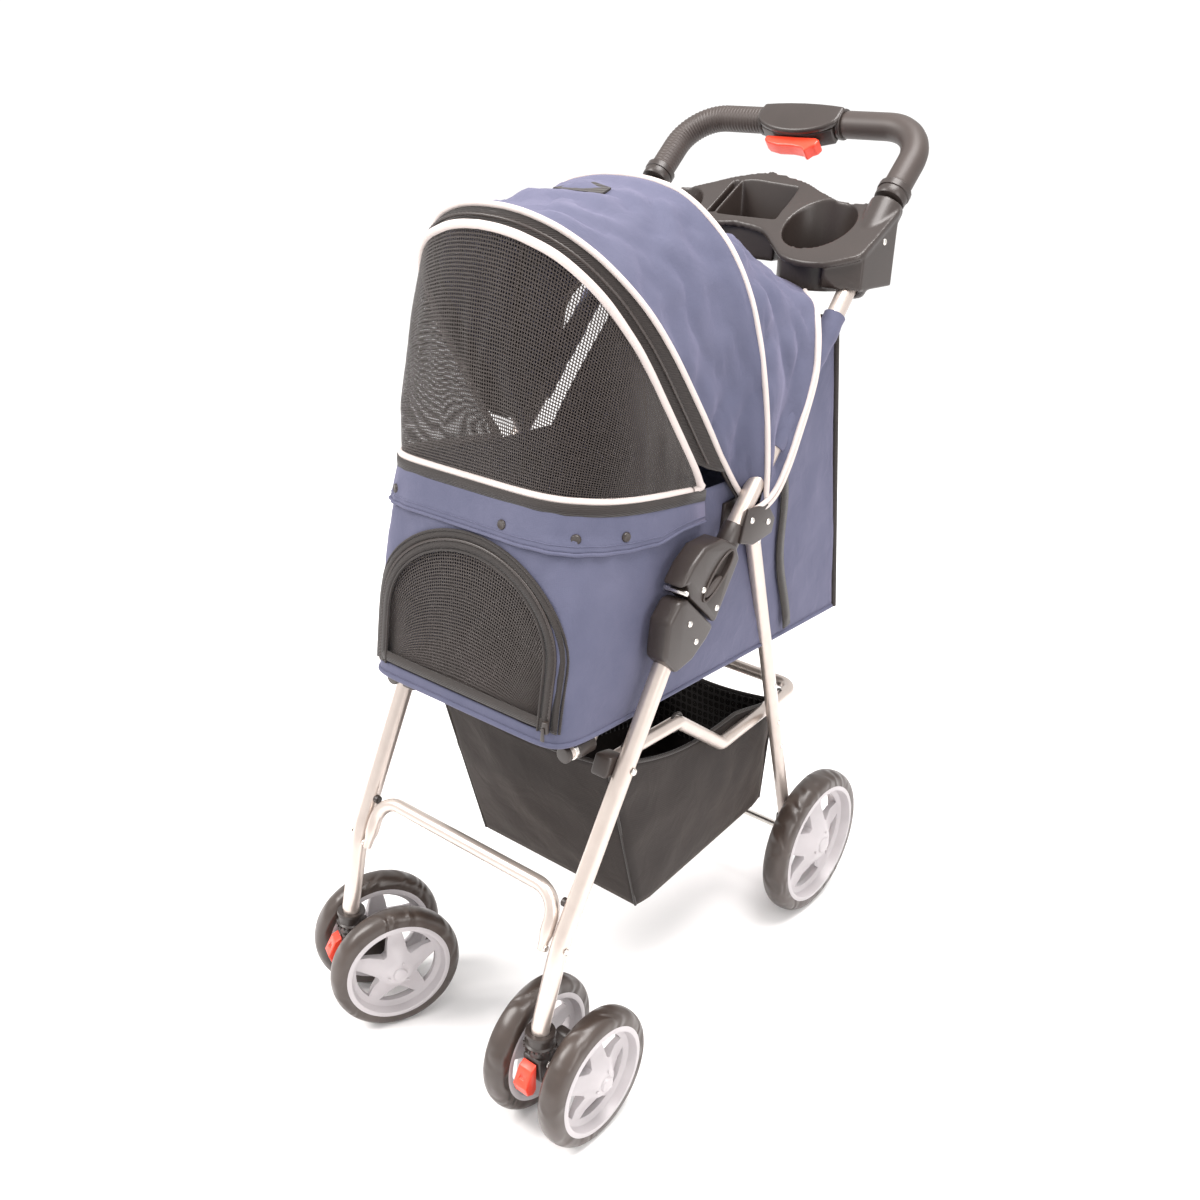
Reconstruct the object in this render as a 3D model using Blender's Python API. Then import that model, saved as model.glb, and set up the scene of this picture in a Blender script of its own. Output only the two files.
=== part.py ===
"""Four-wheeled folding pet stroller with a zipped fabric cabin, as separate sub-parts.

Metres, +Z up, the front of the stroller faces -Y and its right side is +X.
The origin is on the ground under the middle of the wheelbase.
"""
import math

import bmesh
import bpy
from mathutils import Matrix, Vector

# Driving dimensions. Side-view places are (y, z) pairs.
GAP = 0.0004                      # clearance between touching pieces
FOLD_PIVOT = (-0.131, 0.560)      # hinge between front legs and handle, front edge of the locks
REAR_PIVOT = (0.006, 0.600)       # rear legs and canopy bows hang on the handle tubes here
LINK_PIVOT = (-0.187, 0.390)      # basket frame on the front legs
LEG_PIVOT = (0.1364, 0.310)       # basket frame on the rear legs
TUBE_R = 0.0095                   # front leg and handle tube
REAR_TUBE_R = 0.008
LINK_R = 0.0075
BOW_R = 0.0028
GRIP_R = 0.0148
LEG_X = 0.157                     # plane of the front legs at the locks
STEM = (0.143, -0.290)            # caster swivel axis, (x, y)
STEM_TOP = 0.128
FRONT_WHEEL_R = 0.0735
FRONT_TRAIL = 0.0385              # caster axle behind the swivel axis
WHEEL_STEP = 0.0372               # half distance between the two wheels of a caster
FRONT_TYRE_W = 0.028
FAR_SWIVEL = -25.0                # degrees, the left caster stands turned
REAR_WHEEL_R = 0.096
REAR_AXLE = (0.240, 0.096)
REAR_WHEEL_X = 0.1375
REAR_TYRE_W = 0.032
COLLAR = (0.2186, 0.8973)         # (y, z) where the handle loop starts
COLLAR_X = 0.153
LOOP_TILT = math.radians(46.0)    # handle loop, back from vertical
LOOP_RISE = 0.098
CABIN_X = 0.124                   # half width of the cabin
CABIN_WALL = 0.0025
FLOOR_Z = 0.4225                  # underside of the cabin
TRAY_SLOPE = math.radians(30.0)
CUP = (0.099, 0.173)              # cup centre, (x, y)
CUP_R = 0.038
STRAIGHT = math.radians(89.0)     # half corner angle past which a bend is left out

COLOURS = {
    "silver_tube": ((0.62, 0.57, 0.54), 0.32, 0.9),
    "dark_plastic": ((0.075, 0.062, 0.055), 0.45, 0.0),
    "foam_grip": ((0.055, 0.047, 0.042), 0.75, 0.0),
    "red_plastic": ((0.80, 0.09, 0.04), 0.35, 0.0),
    "white_plastic": ((0.70, 0.68, 0.69), 0.35, 0.0),
    "tyre_rubber": ((0.06, 0.048, 0.042), 0.4, 0.0),
    "zinc": ((0.7, 0.68, 0.66), 0.25, 1.0),
    "slate_fabric": ((0.16, 0.18, 0.27), 0.85, 0.0),
    "black_fabric": ((0.045, 0.038, 0.035), 0.9, 0.0),
    "mesh_fabric": ((0.06, 0.05, 0.046), 0.8, 0.0),
    "board": ((0.09, 0.085, 0.08), 0.8, 0.0),
}


def clear_scene():
    for old in list(bpy.data.objects):
        bpy.data.objects.remove(old, do_unlink=True)


def material(slot):
    found = bpy.data.materials.get(slot)
    if found:
        return found
    colour, roughness, metallic = COLOURS[slot]
    made = bpy.data.materials.new(slot)
    made.use_nodes = True
    shader = made.node_tree.nodes["Principled BSDF"]
    shader.inputs["Base Color"].default_value = (*colour, 1.0)
    shader.inputs["Roughness"].default_value = roughness
    shader.inputs["Metallic"].default_value = metallic
    return made


def pivot(name, place, turn=0.0, parent=None):
    """An empty on a joint's axis; turn is its angle about Z in degrees."""
    empty = bpy.data.objects.new(name, None)
    bpy.context.collection.objects.link(empty)
    world = Matrix.Translation(place) @ Matrix.Rotation(math.radians(turn), 4, "Z")
    empty.parent = parent
    empty["rest"] = [value for row in world for value in row]
    empty.matrix_basis = rest_of(parent).inverted() @ world
    return empty


def rest_of(obj):
    if obj is None:
        return Matrix()
    flat = list(obj["rest"])
    return Matrix([flat[0:4], flat[4:8], flat[8:12], flat[12:16]])


def make(name, slot, bm, parent=None, smooth=True):
    """Turn world-space bmesh geometry into a named object hung on its parent."""
    bmesh.ops.recalc_face_normals(bm, faces=bm.faces)
    local = rest_of(parent).inverted()
    bmesh.ops.transform(bm, matrix=local, verts=bm.verts)
    mesh = bpy.data.meshes.new(name)
    bm.to_mesh(mesh)
    bm.free()
    mesh.materials.append(material(slot))
    if smooth:
        mesh.shade_smooth()
        mesh.set_sharp_from_angle(angle=math.radians(35.0))
    obj = bpy.data.objects.new(name, mesh)
    bpy.context.collection.objects.link(obj)
    obj.parent = parent
    return obj


def cutter(obj, bm, operation="DIFFERENCE"):
    """Cut bmesh geometry out of an object, or join it on, with a live Boolean."""
    tool = make(obj.name + "_tool", "dark_plastic", bm, obj.parent, smooth=False)
    tool.hide_render = True
    tool.display_type = "WIRE"
    cut = obj.modifiers.new("cut", "BOOLEAN")
    cut.operation = operation
    cut.solver = "EXACT"
    cut.object = tool
    return tool


def rounded(points, radius, steps=5):
    """Points of a path whose inner corners are arcs of the given radius."""
    points = [Vector(p) for p in points]
    path = [points[0]]
    for before, corner, after in zip(points, points[1:], points[2:]):
        to_before = (before - corner).normalized()
        to_after = (after - corner).normalized()
        half = to_before.angle(to_after) / 2.0
        if half > STRAIGHT:
            path.append(corner)
            continue
        reach = min(radius / math.tan(half), 0.49 * (before - corner).length,
                    0.49 * (after - corner).length)
        start = corner + to_before * reach
        end = corner + to_after * reach
        centre_line = (to_before + to_after).normalized()
        centre = corner + centre_line * (reach / math.cos(half))
        from_centre = (start - centre).normalized()
        for step in range(steps + 1):
            arm = from_centre.slerp((end - centre).normalized(), step / steps)
            path.append(centre + arm.normalized() * (start - centre).length)
    path.append(points[-1])
    return path


def sweep(bm, path, radius, sides=12, bore=0.0):
    """A round bar along a path, or a sleeve when a bore radius is given."""
    path = [Vector(p) for p in path]
    tangents = []
    for index in range(len(path)):
        low = path[max(index - 1, 0)]
        high = path[min(index + 1, len(path) - 1)]
        tangents.append((high - low).normalized())
    side = tangents[0].orthogonal().normalized()
    outer, inner = [], []
    for place, tangent in zip(path, tangents):
        side = (side - tangent * side.dot(tangent)).normalized()
        up = tangent.cross(side)
        turns = [2.0 * math.pi * k / sides for k in range(sides)]
        arms = [side * math.cos(turn) + up * math.sin(turn) for turn in turns]
        outer.append([bm.verts.new(place + arm * radius) for arm in arms])
        if bore:
            inner.append([bm.verts.new(place + arm * bore) for arm in arms])
    for rings in ([outer, inner] if bore else [outer]):
        for low, high in zip(rings, rings[1:]):
            ring_faces(bm, low, high)
    if bore:
        ring_faces(bm, outer[0], inner[0])
        ring_faces(bm, outer[-1], inner[-1])
    else:
        bm.faces.new(outer[0])
        bm.faces.new(outer[-1])


def ring_faces(bm, low, high):
    count = len(low)
    for k in range(count):
        bm.faces.new((low[k], low[(k + 1) % count], high[(k + 1) % count], high[k]))


def tube(name, slot, path, radius, parent=None, sides=12, bore=0.0):
    bm = bmesh.new()
    sweep(bm, path, radius, sides, bore)
    return make(name, slot, bm, parent)


def turned(bm, centre, profile, steps, turn=0.0):
    """Revolve a closed (x, r) profile round an axis along X, turned about Z, by spin."""
    verts = [bm.verts.new((x, 0.0, r)) for x, r in profile]
    edges = [bm.edges.new((verts[k - 1], verts[k])) for k in range(len(verts))]
    bmesh.ops.spin(bm, geom=verts + edges, cent=(0, 0, 0), axis=(1, 0, 0),
                   angle=2.0 * math.pi, steps=steps, use_merge=True, use_duplicate=False)
    bmesh.ops.remove_doubles(bm, verts=bm.verts, dist=0.00001)
    place = Matrix.Translation(centre) @ Matrix.Rotation(math.radians(turn), 4, "Z")
    bmesh.ops.transform(bm, matrix=place, verts=bm.verts)


def prism(bm, outline, low, high, axis="X"):
    """Extrude an outline between two planes; axis X takes (y, z) points, Z takes (x, y)."""
    def place(point, depth):
        if axis == "X":
            return (depth, point[0], point[1])
        return (point[0], point[1], depth)
    bottom = [bm.verts.new(place(p, low)) for p in outline]
    top = [bm.verts.new(place(p, high)) for p in outline]
    bm.faces.new(bottom)
    bm.faces.new(top)
    ring_faces(bm, bottom, top)


def slab(bm, low, high):
    prism(bm, [(low[1], low[2]), (high[1], low[2]), (high[1], high[2]), (low[1], high[2])],
          low[0], high[0])


def disc(bm, centre, radius, length, axis="X", sides=12):
    """A short cylinder centred on a place."""
    along = {"X": Vector((1, 0, 0)), "Y": Vector((0, 1, 0)), "Z": Vector((0, 0, 1))}[axis]
    middle = Vector(centre)
    sweep(bm, [middle - along * length / 2, middle + along * length / 2], radius, sides)


def leg_point(z):
    """Centre of the right front leg's straight stretch at a height."""
    share = (z - 0.222) / (0.509 - 0.222)
    return Vector((0.1465 + 0.0105 * share, -0.270 + 0.1415 * share, z))


def handle_point(z):
    """Centre of the right handle tube at a height."""
    share = (z - 0.544) / (COLLAR[1] - 0.544)
    return Vector((LEG_X + (COLLAR_X - LEG_X) * share, -0.0811 + 0.2997 * share, z))


def rear_point(z):
    """Centre of the right rear leg at a height."""
    share = (REAR_PIVOT[1] - z) / (REAR_PIVOT[1] - 0.112)
    return Vector((0.148 - 0.040 * share, REAR_PIVOT[0] + 0.2195 * share, z))


def mirrored(points):
    return [(-p[0], p[1], p[2]) for p in points]


def both(points, side):
    return [(side * p[0], p[1], p[2]) for p in points]


SIDES = (("right", 1), ("left", -1))


def front_frame():
    for word, side in SIDES:
        leg = rounded([leg_point(0.509), leg_point(0.222),
                       (STEM[0], STEM[1], STEM_TOP + 0.012)], 0.16, 5)
        leg.append(Vector((STEM[0], STEM[1], STEM_TOP - 0.006)))
        tube("front_leg_" + word, "silver_tube", both(leg, side), TUBE_R)
        lock(word, side)
        socket(word, side)
    cross = [(0.1290, leg_point(0.215).y - 0.002, 0.215), (0.1290, leg_point(0.268).y - 0.004, 0.268)]
    path = rounded([cross[0], cross[1]] + mirrored([cross[1], cross[0]]), 0.028, 5)
    tube("front_crossbar", "silver_tube", path, 0.0075)
    for word, side in SIDES:
        bm = bmesh.new()
        disc(bm, (side * 0.1592, FOLD_PIVOT[0], FOLD_PIVOT[1]), 0.0028, 0.027, sides=12)
        make("fold_hinge_pin_" + word, "zinc", bm)


LOWER_LOCK = [(-0.158, 0.499), (-0.154, 0.536), (-0.1385, 0.5530), (-0.1275, 0.5530),
              (-0.1235, 0.5505), (-0.079, 0.5115), (-0.090, 0.500), (-0.112, 0.485),
              (-0.137, 0.479)]
UPPER_LOCK = [(-0.1385, 0.5665), (-0.122, 0.585), (-0.103, 0.598), (-0.075, 0.600),
              (-0.050, 0.588), (-0.042, 0.572), (-0.0775, 0.5135), (-0.1225, 0.5525),
              (-0.1262, 0.5665)]


def lock(word, side):
    """Lower half of a fold lock: the front leg's top is bored into it."""
    bm = bmesh.new()
    prism(bm, LOWER_LOCK, side * 0.1462, side * 0.1715)
    body = make("lower_lock_" + word, "dark_plastic", bm, smooth=False)
    bm = bmesh.new()
    sweep(bm, both([leg_point(0.470), leg_point(0.5095)], side), TUBE_R + GAP, 16)
    cutter(body, bm)
    bm = bmesh.new()
    disc(bm, (side * 0.159, FOLD_PIVOT[0], FOLD_PIVOT[1]), 0.0072, 0.06, sides=12)
    cutter(body, bm)


def socket(word, side):
    """Ring that clamps the leg's foot and carries the caster's stem."""
    bm = bmesh.new()
    centre = Vector((side * STEM[0], STEM[1], 0.0))
    sweep(bm, [centre + Vector((0, 0, 0.118)), centre + Vector((0, 0, 0.134))], 0.0145, 16,
          bore=TUBE_R + GAP)
    make("caster_socket_" + word, "dark_plastic", bm)


def rim_profile(radius, width, hub_r, bore):
    """Closed (x, r) half section of a moulded rim: hub, web and bead."""
    half = width / 2.0
    return [(-half, bore), (half, bore), (half, hub_r), (0.004, hub_r + 0.006),
            (0.004, radius - 0.009), (half - 0.002, radius - 0.004), (half - 0.002, radius),
            (-half + 0.002, radius), (-half + 0.002, radius - 0.004), (-0.004, radius - 0.009),
            (-0.004, hub_r + 0.006), (-half, hub_r)]


def tyre_profile(radius, width, seat):
    half = width / 2.0
    arc = [(half * math.cos(turn), radius - 0.012 + 0.012 * math.sin(turn))
           for turn in [math.pi * k / 8.0 for k in range(9)]]
    return [(-half + 0.003, seat), (half - 0.003, seat)] + arc


def wheel(name, centre, radius, width, rim_r, hub_r, bore, body, turn, steps):
    bm = bmesh.new()
    turned(bm, centre, rim_profile(rim_r, width, hub_r, bore), steps, turn)
    rim = make("rim_" + name, "white_plastic", bm, body)
    windows(rim, centre, rim_r, hub_r, body, turn)
    bm = bmesh.new()
    turned(bm, centre, tyre_profile(radius, width, rim_r + GAP), steps, turn)
    make("tyre_" + name, "tyre_rubber", bm, body)


def windows(rim, centre, rim_r, hub_r, body, turn):
    """Five openings between the spokes."""
    bm = bmesh.new()
    low = hub_r + 0.010
    high = rim_r - 0.012
    for spoke in range(5):
        middle = 2.0 * math.pi * spoke / 5.0
        outline = []
        for r, spread in ((low, 0.20), (high, 0.40), (high, -0.40), (low, -0.20)):
            outline.append((r * math.sin(middle + spread), r * math.cos(middle + spread)))
        prism(bm, outline, -0.03, 0.03)
    place = Matrix.Translation(centre) @ Matrix.Rotation(math.radians(turn), 4, "Z")
    bmesh.ops.transform(bm, matrix=place, verts=bm.verts)
    cutter(rim, bm)


def caster(word, side, turn):
    """Swivelling fork between two wheels, with its red swivel lock."""
    top = Vector((side * STEM[0], STEM[1], 0.117))
    swivel = pivot("caster_" + word, top, turn)
    frame = rest_of(swivel)

    def world(x, y, z):
        return frame @ Vector((x, y, z - top.z))

    bm = bmesh.new()
    disc(bm, world(0, 0, 0.1115), 0.0120, 0.0104, "Z", 16)
    make_fork = [(-0.0135, 0.1088), (0.014, 0.1088), (0.030, 0.0905), (0.0485, 0.0835),
                 (0.0495, 0.0655), (0.036, 0.0605), (0.010, 0.0720), (-0.010, 0.0800)]
    fork = bmesh.new()
    prism(fork, make_fork, -0.0125, 0.0125)
    bmesh.ops.transform(fork, matrix=frame @ Matrix.Translation((0, 0, -top.z)), verts=fork.verts)
    body = make("caster_fork_" + word, "dark_plastic", fork, swivel)
    cutter(body, bm, "UNION")
    hole = bmesh.new()
    sweep(hole, [world(-0.03, FRONT_TRAIL, FRONT_WHEEL_R), world(0.03, FRONT_TRAIL, FRONT_WHEEL_R)],
          0.0036 + GAP, 12)
    cutter(body, hole)
    reach = WHEEL_STEP + FRONT_TYRE_W / 2.0 - 0.002
    axle = [world(-reach, FRONT_TRAIL, FRONT_WHEEL_R), world(reach, FRONT_TRAIL, FRONT_WHEEL_R)]
    tube("caster_axle_" + word, "zinc", axle, 0.0036, swivel)
    hinge = pivot("swivel_lock_pivot_" + word, world(0, -0.0125, 0.1010), turn, swivel)
    lever = bmesh.new()
    prism(lever, [(-0.0142, 0.1060), (-0.0225, 0.1020), (-0.0300, 0.0830), (-0.0200, 0.0705),
                  (-0.0135, 0.0740), (-0.0142, 0.0880)], -0.0085, 0.0085)
    bmesh.ops.transform(lever, matrix=frame @ Matrix.Translation((0, 0, -top.z)), verts=lever.verts)
    make("swivel_lock_" + word, "red_plastic", lever, hinge, smooth=False)
    for place, step in (("outer", side), ("inner", -side)):
        centre = world(step * WHEEL_STEP, FRONT_TRAIL, FRONT_WHEEL_R)
        hub = pivot("front_wheel_%s_%s" % (place, word), centre, turn, swivel)
        wheel("front_%s_%s" % (place, word), centre, FRONT_WHEEL_R, FRONT_TYRE_W, 0.0585, 0.015,
              0.0036 + GAP, hub, turn, 28)


def loop_point(x, rise):
    """A place in the handle loop's tilted plane."""
    return Vector((x, COLLAR[0] + rise * math.sin(LOOP_TILT), COLLAR[1] + rise * math.cos(LOOP_TILT)))


def handle():
    hinge = pivot("handle_fold", (0, *FOLD_PIVOT))
    for word, side in SIDES:
        line = [handle_point(0.5445), handle_point(COLLAR[1] - 0.0045)]
        tube("handle_tube_" + word, "silver_tube", both(line, side), TUBE_R, hinge)
        bm = bmesh.new()
        prism(bm, UPPER_LOCK, side * 0.1462, side * 0.1715)
        body = make("upper_lock_" + word, "dark_plastic", bm, hinge, smooth=False)
        bm = bmesh.new()
        sweep(bm, both([handle_point(0.5440), handle_point(0.64)], side), TUBE_R + GAP, 16)
        cutter(body, bm)
        bm = bmesh.new()
        disc(bm, (side * 0.159, FOLD_PIVOT[0], FOLD_PIVOT[1]), 0.0028 + GAP, 0.06)
        cutter(body, bm)
    half = rounded([loop_point(COLLAR_X, 0.0), loop_point(COLLAR_X, LOOP_RISE),
                    loop_point(0.0, LOOP_RISE)], 0.062, 7)
    tube("handle_bar", "silver_tube", half[:-1] + mirrored(list(reversed(half[:-1]))),
         TUBE_R - 0.001, hinge)
    for word, side in SIDES:
        ends = [loop_point(COLLAR_X, 0.001), loop_point(COLLAR_X, 0.012)]
        tube("collar_" + word, "dark_plastic", both(ends, side), 0.0168, hinge, 16,
             bore=TUBE_R + GAP)
    for word, side in SIDES:
        sleeve = [loop_point(COLLAR_X, 0.0126)] + half[1:-1] + [loop_point(0.052, LOOP_RISE)]
        tube("grip_" + word, "foam_grip", both(sleeve, side), GRIP_R, hinge, 12, bore=TUBE_R)
    console(hinge)
    tray(hinge)
    for word, side in SIDES:
        bm = bmesh.new()
        prism(bm, [(-0.030, 0.585), (0.002, 0.585), (0.018, 0.603), (0.006, 0.620), (-0.026, 0.617)],
              side * 0.1345, side * 0.1378)
        make("bow_bracket_" + word, "dark_plastic", bm, hinge, smooth=False)
    return hinge


def loop_plate(bm, outline, low, high):
    """Extrude an (x, rise) outline square to the loop's plane, low to high in front of it."""
    normal = Vector((0, -math.cos(LOOP_TILT), math.sin(LOOP_TILT)))
    rings = [[bm.verts.new(loop_point(x, rise) + normal * depth) for x, rise in outline]
             for depth in (low, high)]
    bm.faces.new(rings[0])
    bm.faces.new(rings[1])
    ring_faces(bm, rings[0], rings[1])


def console(hinge):
    """Housing over the middle of the loop, in two shells, with the fold trigger below."""
    lens = [(-0.050, LOOP_RISE + 0.012), (0.050, LOOP_RISE + 0.012), (0.050, LOOP_RISE - 0.010),
            (0.034, LOOP_RISE - 0.022), (0.012, LOOP_RISE - 0.028), (-0.012, LOOP_RISE - 0.028),
            (-0.034, LOOP_RISE - 0.022), (-0.050, LOOP_RISE - 0.010)]
    bm = bmesh.new()
    loop_plate(bm, lens, 0.0092, 0.0165)
    make("console_top", "dark_plastic", bm, hinge, smooth=False)
    bm = bmesh.new()
    base = [(-0.048, LOOP_RISE + 0.011), (0.048, LOOP_RISE + 0.011), (0.048, LOOP_RISE - 0.0115),
            (-0.048, LOOP_RISE - 0.0115)]
    loop_plate(bm, base, -0.013, 0.0088)
    body = make("console_base", "dark_plastic", bm, hinge, smooth=False)
    bm = bmesh.new()
    sweep(bm, [loop_point(-0.06, LOOP_RISE), loop_point(0.06, LOOP_RISE)], TUBE_R - 0.001 + GAP, 12)
    cutter(body, bm)
    slide = pivot("trigger_slide", loop_point(0, LOOP_RISE - 0.02), 0.0, hinge)
    bm = bmesh.new()
    paddle = [(-0.034, LOOP_RISE - 0.0235), (0.034, LOOP_RISE - 0.0235),
              (0.034, LOOP_RISE - 0.0330), (0.016, LOOP_RISE - 0.0400),
              (-0.020, LOOP_RISE - 0.0420), (-0.034, LOOP_RISE - 0.0360)]
    loop_plate(bm, paddle, -0.0100, 0.0060)
    make("release_trigger", "red_plastic", bm, slide, smooth=False)


def tray_top(y):
    return COLLAR[1] - (COLLAR[0] - y) * math.tan(TRAY_SLOPE)


def tray(hinge):
    """Moulded tray with two upright cups, a middle pocket and sleeves on the handle tubes."""
    half = [(0.0, 0.232), (0.045, 0.226), (0.085, 0.214), (0.113, 0.206), (0.172, 0.206),
            (0.172, 0.136), (0.150, 0.126), (0.120, 0.118), (0.085, 0.122), (0.060, 0.140),
            (0.036, 0.158), (0.0, 0.163)]
    outline = half + [(-x, y) for x, y in reversed(half[1:-1])]
    bm = bmesh.new()
    rings = [[bm.verts.new((x, y, tray_top(y) - drop)) for x, y in outline] for drop in (0.007, 0.0)]
    bm.faces.new(rings[0])
    bm.faces.new(rings[1])
    ring_faces(bm, rings[0], rings[1])
    body = make("accessory_tray", "dark_plastic", bm, hinge, smooth=False)
    for _, side in SIDES:
        bm = bmesh.new()
        disc(bm, (side * CUP[0], CUP[1], 0.8350), CUP_R + 0.0025, 0.058, "Z", 24)
        bmesh.ops.bisect_plane(bm, geom=bm.verts[:] + bm.edges[:] + bm.faces[:],
                               plane_co=(0, CUP[1], tray_top(CUP[1]) - 0.003),
                               plane_no=(0, -math.sin(TRAY_SLOPE), math.cos(TRAY_SLOPE)),
                               clear_outer=True)
        bmesh.ops.holes_fill(bm, edges=[e for e in bm.edges if e.is_boundary])
        cutter(body, bm, "UNION")
    bm = bmesh.new()
    pocket = [(-0.046, 0.172), (0.046, 0.172), (0.043, 0.219), (-0.043, 0.219)]
    prism(bm, pocket, 0.828, 0.868, "Z")
    cutter(body, bm, "UNION")
    for _, side in SIDES:
        bm = bmesh.new()
        tube_in = handle_point(0.812)
        tube_out = handle_point(COLLAR[1] - 0.007)
        sweep(bm, both([tube_in, tube_out], side), 0.0175, 16)
        cutter(body, bm, "UNION")
    for _, side in SIDES:
        bm = bmesh.new()
        disc(bm, (side * CUP[0], CUP[1], 0.88), CUP_R, 0.143, "Z", 24)
        cutter(body, bm)
        bm = bmesh.new()
        sweep(bm, both([handle_point(0.78), handle_point(0.95)], side), TUBE_R + GAP, 16)
        cutter(body, bm)
    bm = bmesh.new()
    prism(bm, [(-0.0435, 0.1745), (0.0435, 0.1745), (0.0405, 0.2165), (-0.0405, 0.2165)],
          0.8305, 0.95, "Z")
    cutter(body, bm)


def arch(points, tilt):
    """Half outline (x, height) mirrored and laid in a plane through the rear pivot."""
    full = points + [(-x, h) for x, h in reversed(points[:-1])]
    lean = math.radians(tilt)
    return [Vector((x, REAR_PIVOT[0] - h * math.sin(lean), REAR_PIVOT[1] + h * math.cos(lean)))
            for x, h in full]


FRONT_BOW = [(0.133, 0.030), (0.134, 0.070), (0.134, 0.120), (0.133, 0.180), (0.131, 0.235),
             (0.121, 0.285), (0.098, 0.322), (0.066, 0.350), (0.0, 0.366)]
MID_BOW = [(0.134, 0.030), (0.140, 0.090), (0.141, 0.150), (0.138, 0.200), (0.127, 0.245),
           (0.108, 0.281), (0.083, 0.301), (0.050, 0.315), (0.0, 0.320)]
REAR_EDGE = [(0.128, 0.030), (0.126, 0.075), (0.125, 0.120), (0.124, 0.162), (0.120, 0.196),
             (0.108, 0.211), (0.082, 0.220), (0.046, 0.225), (0.0, 0.226)]


def shrunk(points, inset):
    """Pull a half outline towards its middle."""
    return [(x - inset * (1.0 if x > 0.02 else 0.0) * min(1.0, x / 0.10), h - inset * min(1.0, h / 0.25))
            for x, h in points]


def sheet(name, slot, rows, thickness, parent=None):
    """A cloth panel lofted through rows of points, with a wall inwards from them."""
    bm = bmesh.new()
    grid = [[bm.verts.new(p) for p in row] for row in rows]
    for low, high in zip(grid, grid[1:]):
        for k in range(len(low) - 1):
            bm.faces.new((low[k], low[k + 1], high[k + 1], high[k]))
    bmesh.ops.recalc_face_normals(bm, faces=bm.faces)
    middle = rows[len(rows) // 2][len(rows[0]) // 2]
    top = min(bm.faces, key=lambda f: (f.calc_center_median() - middle).length)
    if top.normal.z < 0:
        bmesh.ops.reverse_faces(bm, faces=bm.faces)
    local = rest_of(parent).inverted()
    bmesh.ops.transform(bm, matrix=local, verts=bm.verts)
    mesh = bpy.data.meshes.new(name)
    bm.to_mesh(mesh)
    bm.free()
    mesh.materials.append(material(slot))
    mesh.shade_smooth()
    obj = bpy.data.objects.new(name, mesh)
    bpy.context.collection.objects.link(obj)
    obj.parent = parent
    wall = obj.modifiers.new("wall", "SOLIDIFY")
    wall.thickness = thickness
    wall.offset = -1.0
    return obj


def canopy(hinge):
    mid = pivot("mid_bow_pivot", (0, *REAR_PIVOT), 0.0, hinge)
    front = pivot("front_bow_pivot", (0, *REAR_PIVOT), 0.0, mid)
    tube("canopy_mid_bow", "silver_tube", arch(shrunk(MID_BOW, 0.0075), 8.0), BOW_R, mid, 6)
    tube("canopy_front_bow", "silver_tube", arch(shrunk(FRONT_BOW, 0.0095), 36.2), BOW_R, front, 6)
    rows = [arch(FRONT_BOW, 37.5), arch(blend(FRONT_BOW, MID_BOW, 0.5), 23.0), arch(MID_BOW, 8.0),
            arch(blend(MID_BOW, REAR_EDGE, 0.42), -9.0), arch(blend(MID_BOW, REAR_EDGE, 0.80), -26.0),
            arch(REAR_EDGE, -42.0)]
    sheet("canopy", "slate_fabric", rows, 0.0022, hinge)


def blend(first, second, share):
    return [(a[0] + (b[0] - a[0]) * share, a[1] + (b[1] - a[1]) * share)
            for a, b in zip(first, second)]


WINDOW_RIM = [(0.1215, -0.064, 0.640), (0.1215, -0.095, 0.642), (0.1215, -0.130, 0.645),
              (0.1205, -0.165, 0.648), (0.1160, -0.195, 0.650), (0.1020, -0.212, 0.6505),
              (0.076, -0.220, 0.651), (0.040, -0.2245, 0.6515), (0.0, -0.226, 0.6515)]
WINDOW_TILT = math.radians(34.5)
WINDOW_ARCH = [(0.1225, 0.024), (0.1225, 0.060), (0.122, 0.110), (0.120, 0.158), (0.117, 0.194),
               (0.101, 0.238), (0.074, 0.268), (0.040, 0.287), (0.0, 0.295)]


def mesh_window():
    """Zipped front window: a curved sheet from the cabin's rim up to its zip below the bow."""
    rim = WINDOW_RIM + mirrored(list(reversed(WINDOW_RIM[:-1])))
    half = [(x, -0.060 - h * math.sin(WINDOW_TILT), 0.632 + h * math.cos(WINDOW_TILT))
            for x, h in WINDOW_ARCH]
    top = half + mirrored(list(reversed(half[:-1])))
    rows = []
    for share in (0.0, 0.34, 0.68, 1.0):
        rows.append([Vector(a).lerp(Vector(b), share) + Vector((0, -0.010, 0.006))
                     * (4 * share * (1 - share)) for a, b in zip(rim, top)])
    hinge = pivot("window_hem", (0, -0.226, 0.6515))
    return hinge, rows


def cabin(carriage):
    """Fabric tub: floor, leaning front, sides and back panel, with an arched doorway."""
    outline = [(-0.258, FLOOR_Z), (-0.226, 0.6490), (-0.062, 0.6370), (0.020, 0.600),
               (0.100, 0.655), (0.178, 0.740), (0.196, 0.752), (0.231, FLOOR_Z)]
    bm = bmesh.new()
    prism(bm, outline, -CABIN_X, CABIN_X)
    body = make("cabin_tub", "slate_fabric", bm, carriage, smooth=False)
    wall = CABIN_WALL
    inner = [(-0.258 + wall, FLOOR_Z + wall), (-0.226 + wall, 0.70), (-0.062, 0.80), (0.10, 0.85),
             (0.196 - wall, 0.80), (0.196 - wall, 0.752), (0.231 - wall, FLOOR_Z + wall)]
    bm = bmesh.new()
    prism(bm, inner, -CABIN_X + wall, CABIN_X - wall)
    cutter(body, bm)
    bm = bmesh.new()
    door_prism(bm, 0.0, -0.30, -0.20)
    cutter(body, bm)
    return body


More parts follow.
